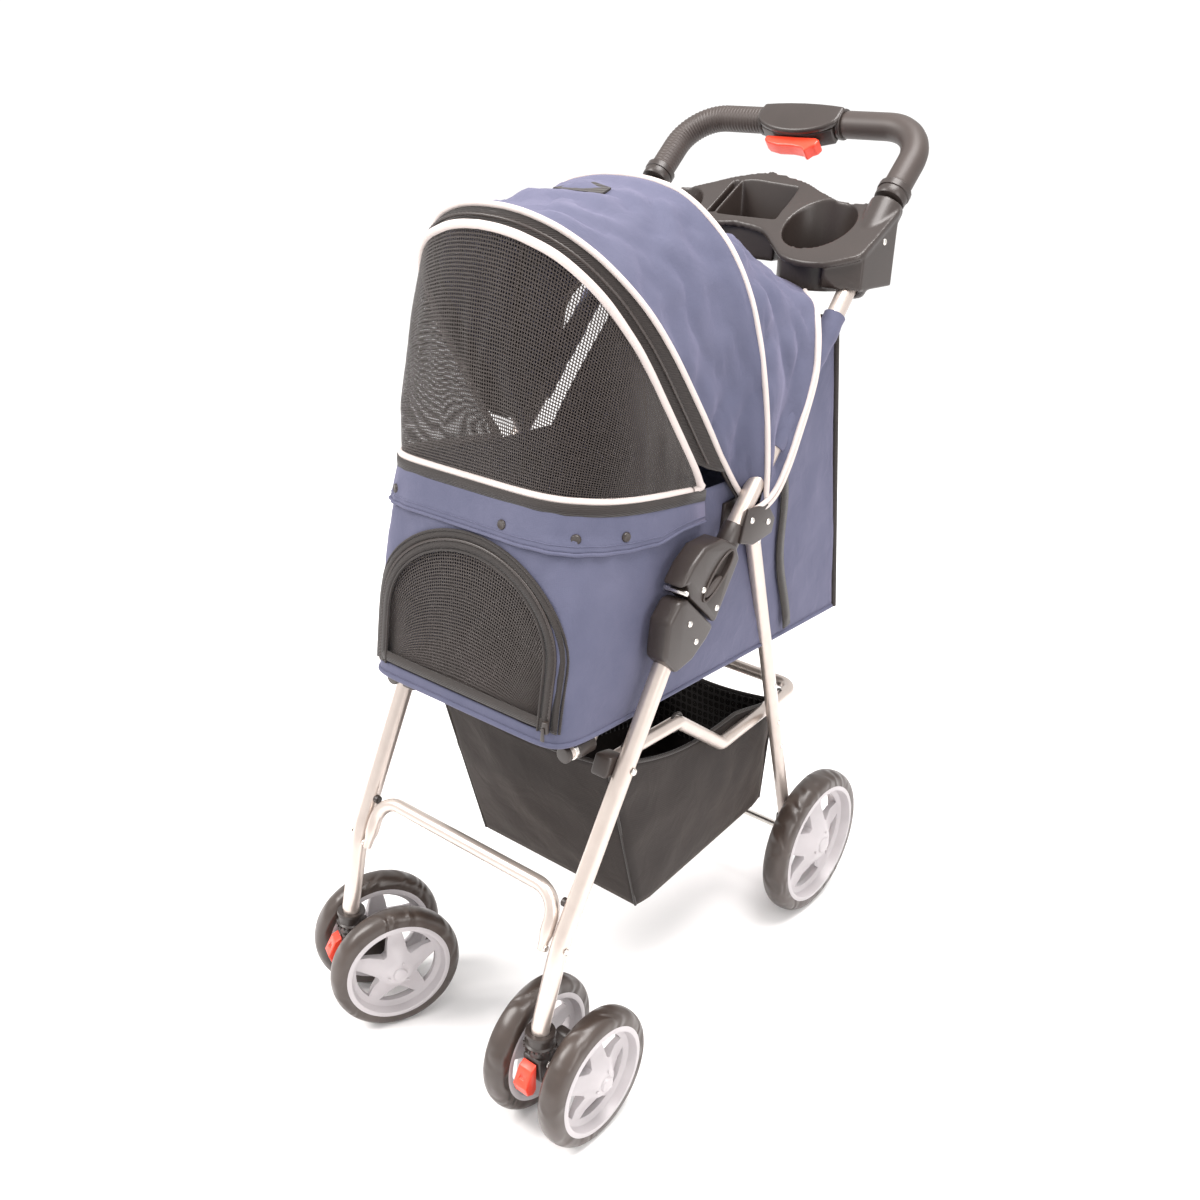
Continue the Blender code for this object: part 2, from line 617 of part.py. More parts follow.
def door_prism(bm, inset, low, high):
    """The doorway's arch, (x, z), extruded along Y."""
    points = [(0.104 - inset, 0.436 + inset), (0.104 - inset, 0.480)]
    for k in range(1, 10):
        turn = math.pi * k / 10.0
        points.append(((0.104 - inset) * math.cos(turn), 0.480 + (0.112 - inset) * math.sin(turn)))
    points += [(-0.104 + inset, 0.480), (-0.104 + inset, 0.436 + inset)]
    rings = [[bm.verts.new((x, y, z)) for x, z in points] for y in (low, high)]
    bm.faces.new(rings[0])
    bm.faces.new(rings[1])
    ring_faces(bm, rings[0], rings[1])


def front_door(carriage):
    """Arched mesh flap that fills the doorway and hangs on its bottom hem."""
    hem = pivot("door_hem", (0, -0.256, 0.437), 0.0, carriage)
    lean = (0.258 - 0.226) / (0.6490 - FLOOR_Z)
    bm = bmesh.new()
    door_prism(bm, 0.0008, 0.0, 0.0022)
    for vert in bm.verts:
        vert.co.y += -0.258 + (vert.co.z - FLOOR_Z) * lean
    make("front_door", "mesh_fabric", bm, hem, smooth=False)


def basket(carriage):
    """Open storage basket hung under the basket frame."""
    def ring(front, rear, half_front, half_rear, z_front, z_rear):
        return [(half_front, front, z_front), (half_rear, rear, z_rear),
                (-half_rear, rear, z_rear), (-half_front, front, z_front)]
    bm = bmesh.new()
    floor = ring(-0.105, 0.178, 0.112, 0.092, 0.170, 0.172)
    rim = ring(-0.160, 0.182, 0.124, 0.094, 0.366, 0.298)
    wall = 0.0022
    inner_floor = ring(-0.105 + wall, 0.178 - wall, 0.112 - wall, 0.092 - wall, 0.170 + wall, 0.172 + wall)
    inner_rim = ring(-0.160 + wall, 0.182 - wall, 0.124 - wall, 0.094 - wall, 0.366, 0.298)
    loops = [[bm.verts.new(p) for p in loop] for loop in (floor, rim, inner_rim, inner_floor)]
    bm.faces.new(loops[0])
    for low, high in zip(loops, loops[1:]):
        ring_faces(bm, low, high)
    bm.faces.new(loops[3])
    make("storage_basket", "black_fabric", bm, carriage, smooth=False)


def carriage_frame():
    carriage = pivot("basket_frame_pivot", (0, *LINK_PIVOT))
    side = [(0.1345, LINK_PIVOT[0] - 0.012, 0.3905), (0.1325, -0.150, 0.3900), (0.1305, -0.072, 0.388),
            (0.1220, 0.029, 0.318), (0.1055, LEG_PIVOT[0], LEG_PIVOT[1]), (0.0990, 0.222, 0.313)]
    path = rounded(side + mirrored(list(reversed(side))), 0.020, 4)
    tube("basket_frame", "silver_tube", path, LINK_R, carriage, 10)
    rail = rounded([(0.1195, -0.235, 0.4130), (0.1195, -0.205, 0.4130), (0.0915, -0.155, 0.4130),
                    (0.0915, 0.205, 0.4130)], 0.030, 3)
    floor = tube("floor_frame", "silver_tube", rail, LINK_R, carriage, 10)
    joined = [(mirrored(rail), LINK_R)]
    joined += [([(-0.0910, y, 0.4132), (0.0910, y, 0.4132)], 0.0055) for y in (-0.130, 0.170)]
    for line, radius in joined:
        bm = bmesh.new()
        sweep(bm, line, radius, 10)
        cutter(floor, bm, "UNION")
    bm = bmesh.new()
    slab(bm, (-0.117, -0.246, FLOOR_Z + 0.0032), (0.117, 0.222, FLOOR_Z + 0.0062))
    make("floor_board", "board", bm, carriage, smooth=False)
    bm = bmesh.new()
    slab(bm, (-0.114, -0.240, FLOOR_Z + 0.0067), (0.114, 0.214, FLOOR_Z + 0.0227))
    make("cabin_cushion", "black_fabric", bm, carriage, smooth=False)
    cabin(carriage)
    front_door(carriage)
    basket(carriage)
    hinge, rows = mesh_window()
    hinge.parent = carriage
    hinge.matrix_basis = rest_of(carriage).inverted() @ rest_of(hinge)
    sheet("mesh_window", "mesh_fabric", rows, 0.0018, hinge)
    return carriage


def rear_frame(handle_hinge):
    rear = pivot("rear_leg_pivot", (0, *REAR_PIVOT), 0.0, handle_hinge)
    for word, side in SIDES:
        line = [rear_point(0.6075), rear_point(0.1245)]
        tube("rear_leg_" + word, "silver_tube", both(line, side), REAR_TUBE_R, rear)
    y, z = REAR_AXLE
    tube("rear_axle", "zinc", [(-0.1515, y, z), (0.1515, y, z)], 0.0045, rear)
    for word, side in SIDES:
        bm = bmesh.new()
        prism(bm, [(0.213, 0.1185), (0.234, 0.1185), (0.2535, 0.106), (0.2535, 0.086),
                   (0.236, 0.084), (0.213, 0.104)], side * 0.1000, side * 0.1165)
        body = make("axle_bracket_" + word, "dark_plastic", bm, rear, smooth=False)
        bm = bmesh.new()
        sweep(bm, [(side * 0.08, y, z), (side * 0.13, y, z)], 0.0045 + GAP)
        cutter(body, bm)
    for word, side in SIDES:
        hub = pivot("rear_wheel_" + word, (side * REAR_WHEEL_X, y, z), 0.0, rear)
        wheel("rear_" + word, (side * REAR_WHEEL_X, y, z), REAR_WHEEL_R, REAR_TYRE_W, 0.0785, 0.020,
              0.0045 + GAP, hub, 0.0, 32)
        brake = pivot("brake_pivot_" + word, (side * 0.0930, 0.2460, 0.1130), 0.0, rear)
        bm = bmesh.new()
        prism(bm, [(0.240, 0.1180), (0.2500, 0.1190), (0.300, 0.1020), (0.298, 0.0965),
                   (0.252, 0.1075)], side * 0.0850, side * 0.0993)
        make("brake_lever_" + word, "red_plastic", bm, brake, smooth=False)


def build():
    clear_scene()
    front_frame()
    hinge = handle()
    canopy(hinge)
    rear_frame(hinge)
    carriage_frame()
    caster("right", 1, 0.0)
    caster("left", -1, FAR_SWIVEL)


build()
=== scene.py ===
import math

import bmesh
import bpy
from mathutils import Matrix, Vector, noise


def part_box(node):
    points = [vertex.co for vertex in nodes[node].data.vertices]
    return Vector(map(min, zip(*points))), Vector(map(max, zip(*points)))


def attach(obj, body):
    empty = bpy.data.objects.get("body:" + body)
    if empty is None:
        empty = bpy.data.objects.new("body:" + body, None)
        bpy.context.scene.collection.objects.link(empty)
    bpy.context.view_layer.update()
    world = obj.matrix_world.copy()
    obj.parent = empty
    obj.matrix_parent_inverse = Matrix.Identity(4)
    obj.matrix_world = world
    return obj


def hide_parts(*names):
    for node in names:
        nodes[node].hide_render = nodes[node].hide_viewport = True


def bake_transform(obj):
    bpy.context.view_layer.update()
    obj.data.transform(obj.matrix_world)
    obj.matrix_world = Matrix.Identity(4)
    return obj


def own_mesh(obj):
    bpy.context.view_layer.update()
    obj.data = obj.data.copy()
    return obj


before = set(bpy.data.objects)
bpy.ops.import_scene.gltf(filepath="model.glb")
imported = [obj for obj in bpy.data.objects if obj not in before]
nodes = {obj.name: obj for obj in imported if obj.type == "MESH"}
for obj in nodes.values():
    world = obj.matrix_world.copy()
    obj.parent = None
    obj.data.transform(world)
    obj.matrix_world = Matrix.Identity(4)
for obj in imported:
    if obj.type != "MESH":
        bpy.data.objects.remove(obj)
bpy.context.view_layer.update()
sides = (("Right", "right", 1), ("Left", "left", -1))
print("frame loaded:", len(nodes), "nodes")


# materials

def linear(code):
    # sRGB hex to linear RGBA
    parts = [int(code[i:i + 2], 16) / 255 for i in (1, 3, 5)]
    return tuple(c / 12.92 if c <= 0.04045 else ((c + 0.055) / 1.055) ** 2.4 for c in parts) + (1.0,)


def addNode(tree, kind, settings=None, **inputs):
    # One node, its settings, and its inputs as values or as sockets to link; n2 means the third input.
    node = tree.nodes.new(kind)
    for key, value in (settings or {}).items():
        setattr(node, key, value)
    for key, value in inputs.items():
        key = key.replace("_", " ")
        socket = node.inputs[int(key[1:])] if key[0] == "n" and key[1:].isdigit() else node.inputs[key]
        if isinstance(value, bpy.types.NodeSocket):
            tree.links.new(value, socket)
        else:
            socket.default_value = value
    return node


def startMaterial(name, colour, roughness, metallic=0.0, **more):
    material = bpy.data.materials.new(name)
    material.use_nodes = True
    shader = material.node_tree.nodes["Principled BSDF"]
    values = {"Base Color": linear(colour), "Roughness": roughness, "Metallic": metallic}
    values.update({key.replace("_", " "): value for key, value in more.items()})
    for key, value in values.items():
        shader.inputs[key].default_value = value
    return material, material.node_tree, shader


def mottle(tree, shader, darker, lighter, size, source, detail=4.0):
    # Base colour that drifts between two tones over patches of this size in metres.
    cloud = addNode(tree, "ShaderNodeTexNoise", Vector=source, Scale=1 / size, Detail=detail, Roughness=0.6)
    mix = addNode(tree, "ShaderNodeMix", {"data_type": "RGBA"}, n0=cloud.outputs["Fac"],
                  n6=linear(darker), n7=linear(lighter))
    tree.links.new(mix.outputs[2], shader.inputs["Base Color"])
    return cloud


def relief(tree, shader, height, depth, strength=1.0):
    bump = addNode(tree, "ShaderNodeBump", Height=height, Distance=depth, Strength=strength)
    tree.links.new(bump.outputs["Normal"], shader.inputs["Normal"])


def stripes(tree, coordinate, pitch):
    # 0..1 sine stripes with this pitch along one coordinate.
    turned = addNode(tree, "ShaderNodeMath", {"operation": "MULTIPLY"}, n0=coordinate, n1=2 * math.pi / pitch)
    wave = addNode(tree, "ShaderNodeMath", {"operation": "SINE"}, n0=turned.outputs[0])
    return addNode(tree, "ShaderNodeMath", {"operation": "MULTIPLY_ADD"}, n0=wave.outputs[0], n1=0.5, n2=0.5)


def objectPlace(tree):
    return addNode(tree, "ShaderNodeTexCoord").outputs["Object"]


def steelTube():
    # satin champagne lacquer over drawn steel tube: soft long highlights, faint drawing lines
    material, tree, shader = startMaterial("satinLacqueredSteelTube", "#c4b8b0", 0.30, 0.72, Coat_Weight=0.25,
                                           Coat_Roughness=0.2)
    place = objectPlace(tree)
    mottle(tree, shader, "#bdb0a8", "#cec3bb", 0.02, place)
    grain = addNode(tree, "ShaderNodeTexNoise", Vector=place, Scale=1 / 0.0008, Detail=2.0)
    relief(tree, shader, grain.outputs["Fac"], 0.00003, 0.4)
    return material


def mouldedPlastic(name, darker, lighter, roughness):
    # injection-moulded polypropylene with a fine spark-eroded grain that scatters the highlight
    material, tree, shader = startMaterial(name, darker, roughness, Specular_IOR_Level=0.5)
    place = objectPlace(tree)
    mottle(tree, shader, darker, lighter, 0.03, place)
    grain = addNode(tree, "ShaderNodeTexNoise", Vector=place, Scale=1 / 0.0009, Detail=3.0)
    relief(tree, shader, grain.outputs["Fac"], 0.00006, 0.6)
    return material


def zincSteel():
    # bright zinc-plated rivets and axles, slightly cloudy plating
    material, tree, shader = startMaterial("zincPlatedSteel", "#d9d4cf", 0.25, 1.0)
    mottle(tree, shader, "#cbc5bf", "#e6e2dd", 0.004, objectPlace(tree))
    return material


def rubberScrolls(tree, place):
    # Height of the moulded scroll pattern on the tyres: rings about 30 mm apart, bent by a slow drift.
    drift = addNode(tree, "ShaderNodeTexNoise", Vector=place, Scale=1 / 0.045, Detail=1.0)
    pushed = addNode(tree, "ShaderNodeVectorMath", {"operation": "MULTIPLY_ADD"}, n0=drift.outputs["Color"],
                     n1=(0.05, 0.05, 0.05), n2=place)
    return addNode(tree, "ShaderNodeTexWave", {"wave_type": "RINGS", "rings_direction": "SPHERICAL"},
                   Vector=pushed.outputs[0], Scale=18.0, Distortion=5.0, Detail=1.0, Detail_Scale=1.4)


def tyreRubber():
    # solid EVA tyre skin: semi-gloss warm black with moulded scrolls in low relief
    material, tree, shader = startMaterial("mouldedTyreRubber", "#352c28", 0.34, Specular_IOR_Level=0.55)
    place = objectPlace(tree)
    mottle(tree, shader, "#2d2521", "#463b35", 0.05, place)
    scroll = rubberScrolls(tree, place)
    relief(tree, shader, scroll.outputs["Fac"], 0.0011, 0.9)
    return material


def wovenCloth(name, darker, lighter, pitch, depth, roughness=0.8, sheen=0.25, sheenTint="#cfc6e6"):
    # plain-woven polyester: threads are finer than this in life, drawn coarse enough to show
    material, tree, shader = startMaterial(name, darker, roughness, Sheen_Weight=sheen, Sheen_Roughness=0.45,
                                           Sheen_Tint=linear(sheenTint), Specular_IOR_Level=0.35)
    place = objectPlace(tree)
    mottle(tree, shader, darker, lighter, 0.06, place)
    flat = addNode(tree, "ShaderNodeUVMap", {"uv_map": "weave"})
    split = addNode(tree, "ShaderNodeSeparateXYZ", Vector=flat.outputs[0])
    warp = stripes(tree, split.outputs[0], pitch)
    weft = stripes(tree, split.outputs[1], pitch)
    weave = addNode(tree, "ShaderNodeMath", {"operation": "MULTIPLY"}, n0=warp.outputs[0], n1=weft.outputs[0])
    rumple = addNode(tree, "ShaderNodeTexNoise", Vector=place, Scale=1 / 0.028, Detail=3.0, Distortion=0.6)
    total = addNode(tree, "ShaderNodeMath", {"operation": "MULTIPLY_ADD"}, n0=weave.outputs[0], n1=depth / 0.002,
                    n2=rumple.outputs["Fac"])
    relief(tree, shader, total.outputs[0], 0.002, 0.75)
    return material


def openMesh(name, darker, lighter, pitch, openness):
    # warp-knitted polyester mesh: holes are 1 mm in life, drawn at this pitch so that they show
    material, tree, shader = startMaterial(name, darker, 0.75, Sheen_Weight=0.2, Specular_IOR_Level=0.3)
    place = objectPlace(tree)
    mottle(tree, shader, darker, lighter, 0.05, place)
    flat = addNode(tree, "ShaderNodeUVMap", {"uv_map": "weave"})
    split = addNode(tree, "ShaderNodeSeparateXYZ", Vector=flat.outputs[0])
    across = stripes(tree, split.outputs[0], pitch)
    along = stripes(tree, split.outputs[1], pitch * 1.3)
    both = addNode(tree, "ShaderNodeMath", {"operation": "MULTIPLY"}, n0=across.outputs[0], n1=along.outputs[0])
    hole = addNode(tree, "ShaderNodeMapRange", Value=both.outputs[0], n1=0.13, n2=0.32, n3=1.0, n4=openness)
    tree.links.new(hole.outputs[0], shader.inputs["Alpha"])
    relief(tree, shader, hole.outputs[0], 0.0004, 0.5)
    return material


def ribbedTape(name, darker, lighter, pitch):
    # woven nylon zip tape and webbing with cross ribs
    material, tree, shader = startMaterial(name, darker, 0.7, Sheen_Weight=0.15, Specular_IOR_Level=0.35)
    place = objectPlace(tree)
    mottle(tree, shader, darker, lighter, 0.02, place)
    split = addNode(tree, "ShaderNodeSeparateXYZ", Vector=place)
    ribs = stripes(tree, split.outputs[2], pitch)
    relief(tree, shader, ribs.outputs[0], 0.0005, 0.6)
    return material


def floorPaper():
    # seamless paper background, very slightly mottled
    material, tree, shader = startMaterial("seamlessPaper", "#fbfafa", 0.9, Specular_IOR_Level=0.1)
    mottle(tree, shader, "#faf9f9", "#fdfcfc", 0.6, objectPlace(tree))
    return material


looks = {
    "tube": steelTube(),
    "dark": mouldedPlastic("mouldedDarkPolypropylene", "#2a2421", "#332b28", 0.36),
    "grip": mouldedPlastic("softTouchGrip", "#332b28", "#3c332f", 0.48),
    "red": mouldedPlastic("mouldedRedPolypropylene", "#dc3a26", "#e8482f", 0.32),
    "white": mouldedPlastic("mouldedWhiteNylon", "#a6a1a3", "#b3aeb0", 0.34),
    "zinc": zincSteel(),
    "tyre": tyreRubber(),
    "slate": wovenCloth("slateOxfordPolyester", "#42455a", "#57586c", 0.0016, 0.0001),
    "navy": wovenCloth("navyOxfordPolyester", "#1d2438", "#283049", 0.0016, 0.0001, sheen=0.1),
    "black": wovenCloth("blackOxfordPolyester", "#1b1716", "#26201e", 0.0018, 0.00015, 0.78, 0.12, "#b09a8a"),
    "piping": wovenCloth("warmWhitePiping", "#b9aeaa", "#c6bcb8", 0.0012, 0.00006, 0.6, 0.1, "#ffffff"),
    "mesh": openMesh("brownGreyPolyesterMesh", "#28221f", "#352d2a", 0.0026, 0.04),
    "knit": openMesh("blackKnitMesh", "#161312", "#201b19", 0.0085, 0.1),
    "tape": ribbedTape("blackZipTape", "#1e1917", "#2a2320", 0.0016),
    "strap": ribbedTape("blackRibbedWebbing", "#1e1a18", "#2a2421", 0.0026),
    "padding": wovenCloth("charcoalPadCloth", "#231e1c", "#2e2826", 0.0018, 0.0001, 0.85, 0.2, "#b0a8a0"),
}
print("materials made")


# modelling helpers

def pick(*objs):
    if bpy.context.object and bpy.context.object.mode != "OBJECT":
        bpy.ops.object.mode_set(mode="OBJECT")
    bpy.ops.object.select_all(action="DESELECT")
    for obj in objs:
        obj.select_set(True)
    bpy.context.view_layer.objects.active = objs[0]


def editAll(obj):
    pick(obj)
    bpy.ops.object.mode_set(mode="EDIT")
    bpy.ops.mesh.select_all(action="SELECT")


def applyAll(obj):
    pick(obj)
    bpy.ops.object.transform_apply(location=True, rotation=True, scale=True)
    for modifier in list(obj.modifiers):
        bpy.ops.object.modifier_apply(modifier=modifier.name)


def tidyMesh(obj, distance=0.00002):
    editAll(obj)
    bpy.ops.mesh.remove_doubles(threshold=distance)
    bpy.ops.mesh.normals_make_consistent(inside=False)
    bpy.ops.object.mode_set(mode="OBJECT")


def roundEdges(obj, width, segments=3, angle=32):
    bevel = obj.modifiers.new("edges", "BEVEL")
    bevel.width = width
    bevel.segments = segments
    bevel.limit_method = "ANGLE"
    bevel.angle_limit = math.radians(angle)
    bevel.use_clamp_overlap = True
    applyAll(obj)


def place(obj, name, look, body, *stoodFor, smooth=40):
    # Name, finish and hang a finished piece on its body.
    applyAll(obj)
    obj.name = name
    obj.data.name = name
    obj.data.materials.clear()
    obj.data.materials.append(looks[look])
    pick(obj)
    bpy.ops.object.shade_smooth_by_angle(angle=math.radians(smooth))
    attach(obj, body)
    if stoodFor:
        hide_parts(*stoodFor)
    return obj


def joinAll(objs):
    pick(*objs)
    bpy.ops.object.join()
    return bpy.context.object


def rounded(points, radius, steps=8):
    # Points of a path whose inner corners are arcs.
    points = [Vector(p) for p in points]
    path = [points[0]]
    for before, corner, after in zip(points, points[1:], points[2:]):
        toBefore = (before - corner).normalized()
        toAfter = (after - corner).normalized()
        half = toBefore.angle(toAfter) / 2
        if half > math.radians(89):
            path.append(corner)
            continue
        reach = min(radius / math.tan(half), 0.49 * (before - corner).length, 0.49 * (after - corner).length)
        start, end = corner + toBefore * reach, corner + toAfter * reach
        centre = corner + (toBefore + toAfter).normalized() * (reach / math.cos(half))
        for step in range(steps + 1):
            arm = (start - centre).normalized().slerp((end - centre).normalized(), step / steps)
            path.append(centre + arm * (start - centre).length)
    path.append(points[-1])
    return path


def smoothLine(points, steps=6):
    # Catmull-Rom line through the points.
    points = [Vector(p) for p in points]
    padded = [points[0] * 2 - points[1]] + points + [points[-1] * 2 - points[-2]]
    line = []
    for a, b, c, d in zip(padded, padded[1:], padded[2:], padded[3:]):
        for step in range(steps):
            t = step / steps
            line.append(0.5 * ((2 * b) + (c - a) * t + (2 * a - 5 * b + 4 * c - d) * t ** 2
                               + (3 * b - a - 3 * c + d) * t ** 3))
    line.append(points[-1])
    return line


def resample(points, count):
    # The same line with evenly spaced points.
    lengths = [0.0]
    for a, b in zip(points, points[1:]):
        lengths.append(lengths[-1] + (b - a).length)
    out = []
    index = 0
    for k in range(count):
        want = lengths[-1] * k / (count - 1)
        while index < len(points) - 2 and lengths[index + 1] < want:
            index += 1
        span = max(lengths[index + 1] - lengths[index], 1e-9)
        out.append(points[index].lerp(points[index + 1], min(max((want - lengths[index]) / span, 0), 1)))
    return out


def mirrored(points):
    return [Vector((-p[0], p[1], p[2])) for p in points]


def onSide(points, side):
    return [Vector((side * p[0], p[1], p[2])) for p in points]


def bar(points, radius, around=6, closed=False, radii=None):
    # A round bar along a line, from a curve given a round bevel.
    bpy.ops.curve.primitive_nurbs_path_add()
    obj = bpy.context.object
    curve = obj.data
    curve.splines.clear()
    spline = curve.splines.new("POLY")
    spline.points.add(len(points) - 1)
    for k, (point, spot) in enumerate(zip(spline.points, points)):
        point.co = (*spot, 1.0)
        point.radius = radii[k] if radii else 1.0
    spline.use_cyclic_u = closed
    curve.bevel_depth = radius
    curve.bevel_resolution = around
    curve.use_fill_caps = not closed
    bpy.ops.object.convert(target="MESH")
    obj = bpy.context.object
    tidyMesh(obj)
    return obj


def slab(outline, low, high, axis="X"):
    # An outline filled and extruded: (y, z) points along X, (x, z) along Y or (x, y) along Z.
    bpy.ops.mesh.primitive_circle_add(vertices=len(outline), fill_type="NGON")
    obj = bpy.context.object
    for vert, (a, b) in zip(obj.data.vertices, outline):
        vert.co = {"X": (low, a, b), "Y": (a, low, b), "Z": (a, b, low)}[axis]
    step = {"X": (high - low, 0, 0), "Y": (0, high - low, 0), "Z": (0, 0, high - low)}[axis]
    editAll(obj)
    bpy.ops.mesh.extrude_region_move(TRANSFORM_OT_translate={"value": step})
    bpy.ops.mesh.select_all(action="SELECT")
    bpy.ops.mesh.normals_make_consistent(inside=False)
    bpy.ops.object.mode_set(mode="OBJECT")
    return obj


def spun(profile, steps=48, axis="X"):
    # A closed (along, radius) profile spun round the X or Z axis at the origin.
    bpy.ops.mesh.primitive_circle_add(vertices=len(profile))
    obj = bpy.context.object
    for vert, (along, radius) in zip(obj.data.vertices, profile):
        vert.co = (along, 0, radius) if axis == "X" else (radius, 0, along)
    editAll(obj)
    bpy.ops.mesh.spin(steps=steps, angle=2 * math.pi, center=(0, 0, 0),
                      axis=(1, 0, 0) if axis == "X" else (0, 0, 1))
    bpy.ops.object.mode_set(mode="OBJECT")
    tidyMesh(obj)
    return obj


def disc(centre, radius, length, axis="X", sideCount=32):
    bpy.ops.mesh.primitive_cylinder_add(vertices=sideCount, radius=radius, depth=length)
    obj = bpy.context.object
    turn = {"X": Matrix.Rotation(math.pi / 2, 4, "Y"), "Y": Matrix.Rotation(math.pi / 2, 4, "X"), "Z": Matrix()}
    obj.data.transform(Matrix.Translation(centre) @ turn[axis])
    return obj


def carve(obj, tool, operation="DIFFERENCE"):
    cut = obj.modifiers.new("cut", "BOOLEAN")
    cut.operation = operation
    cut.solver = "EXACT"
    cut.object = tool
    pick(obj)
    bpy.ops.object.modifier_apply(modifier=cut.name)
    bpy.data.objects.remove(tool)
    return obj


def rivet(centre, radius, axis=(1, 0, 0), height=0.0022):
    # A domed head that stands on a surface.
    bpy.ops.mesh.primitive_uv_sphere_add(segments=20, ring_count=10, radius=radius)
    obj = bpy.context.object
    obj.data.transform(Matrix.Diagonal((1, 1, height / radius, 1)))
    editAll(obj)
    bpy.ops.mesh.bisect(plane_co=(0, 0, -height * 0.3), plane_no=(0, 0, 1), use_fill=True, clear_inner=True)
    bpy.ops.object.mode_set(mode="OBJECT")
    turn = Vector((0, 0, 1)).rotation_difference(Vector(axis)).to_matrix().to_4x4()
    obj.data.transform(Matrix.Translation(centre) @ turn)
    return obj


def cloth(name, rows, look, thickness=0.0009, closed=False, smoothLevels=0):
    # A sheet through rows of points, with its flat coordinates in metres as its weave map.
    bm = bmesh.new()
    uv = bm.loops.layers.uv.new("weave")
    grid = [[bm.verts.new(p) for p in row] for row in rows]
    count = len(rows[0])
    across = [0.0]
    middle = rows[len(rows) // 2]
    for a, b in zip(middle, middle[1:]):
        across.append(across[-1] + (Vector(b) - Vector(a)).length)
    if closed:
        across.append(across[-1] + (Vector(middle[0]) - Vector(middle[-1])).length)
    along = [0.0]
    centre = count // 2
    for a, b in zip(rows, rows[1:]):
        along.append(along[-1] + (Vector(b[centre]) - Vector(a[centre])).length)
    for r in range(len(rows) - 1):
        for k in range(count if closed else count - 1):
            nextK = (k + 1) % count
            face = bm.faces.new((grid[r][k], grid[r][nextK], grid[r + 1][nextK], grid[r + 1][k]))
            flat = ((across[k], along[r]), (across[k + 1], along[r]),
                    (across[k + 1], along[r + 1]), (across[k], along[r + 1]))
            for loop, spot in zip(face.loops, flat):
                loop[uv].uv = spot
    bmesh.ops.recalc_face_normals(bm, faces=bm.faces)
    mesh = bpy.data.meshes.new(name)
    bm.to_mesh(mesh)
    bm.free()
    obj = bpy.data.objects.new(name, mesh)
    bpy.context.scene.collection.objects.link(obj)
    area = sum(face.area for face in mesh.polygons)
    wide = max(sum((Vector(b) - Vector(a)).length for a, b in zip(row, row[1:])) for row in rows)
    long = max(sum((Vector(rows[r + 1][k]) - Vector(rows[r][k])).length for r in range(len(rows) - 1))
               for k in range(count))
    obj["flat"] = [wide, long, area]
    wall = obj.modifiers.new("wall", "SOLIDIFY")
    wall.thickness = thickness
    wall.offset = 0.0
    if smoothLevels:
        softer = obj.modifiers.new("softer", "SUBSURF")
        softer.levels = softer.render_levels = smoothLevels
    applyAll(obj)
    obj.data.materials.append(looks[look])
    pick(obj)
    bpy.ops.object.shade_smooth()
    return obj


def cutCloth(obj):
    # Work out the size that a cloth piece was cut to, then drop its stored measures; the size is not kept.
    wide, long, area = obj["flat"]
    wide, long = max(wide, area / long), max(long, area / wide)
    del obj["flat"]


def crease(spot, size=0.03, stretch=(1, 1, 1), seed=0.0):
    # Ridged folds between -1 and 1 at a place.
    q = Vector((spot[0] * stretch[0], spot[1] * stretch[1], spot[2] * stretch[2])) / size + Vector((seed, 0, 0))
    return 1 - 2.2 * abs(noise.noise(q)) - 0.6 * abs(noise.noise(q * 2.3))


def ruffle(rows, depth, size=0.03, stretch=(1, 1, 1), seed=0.0, edge=0.12):
    # Push the inner rows of a sheet in and out along its normal by creases that fade at the edges.
    out = [[Vector(p) for p in row] for row in rows]
    last = len(rows) - 1
    width = len(rows[0]) - 1
    for r in range(1, last):
        for k in range(width + 1):
            a = rows[r][max(k - 1, 0)] - rows[r][min(k + 1, width)]
            b = rows[r - 1][k] - rows[r + 1][k]
            normal = a.cross(b)
            if normal.length < 1e-12:
                continue
            fade = min(1.0, r / last / edge, (last - r) / last / edge)
            push = depth * fade * crease(rows[r][k], size, stretch, seed)
            out[r][k] = rows[r][k] + normal.normalized() * push
    return out


# frame tubes

tubes = {"frameRadius": 0.0095, "rearRadius": 0.008, "linkRadius": 0.0075, "legPlane": 0.157,
         "stem": (0.143, -0.290), "collar": (0.2186, 0.8973), "collarX": 0.153,
         "rear": (0.006, 0.600), "link": (-0.187, 0.390), "cross": (0.1364, 0.310), "fold": (-0.131, 0.560)}


def legPoint(z):
    share = (z - 0.222) / 0.287
    return Vector((0.1465 + 0.0105 * share, -0.270 + 0.1415 * share, z))


def handlePoint(z):
    share = (z - 0.544) / (tubes["collar"][1] - 0.544)
    return Vector((tubes["legPlane"] - 0.004 * share, -0.0811 + 0.2997 * share, z))


def rearPoint(z):
    share = (tubes["rear"][1] - z) / 0.488
    return Vector((0.148 - 0.040 * share, tubes["rear"][0] + 0.2195 * share, z))


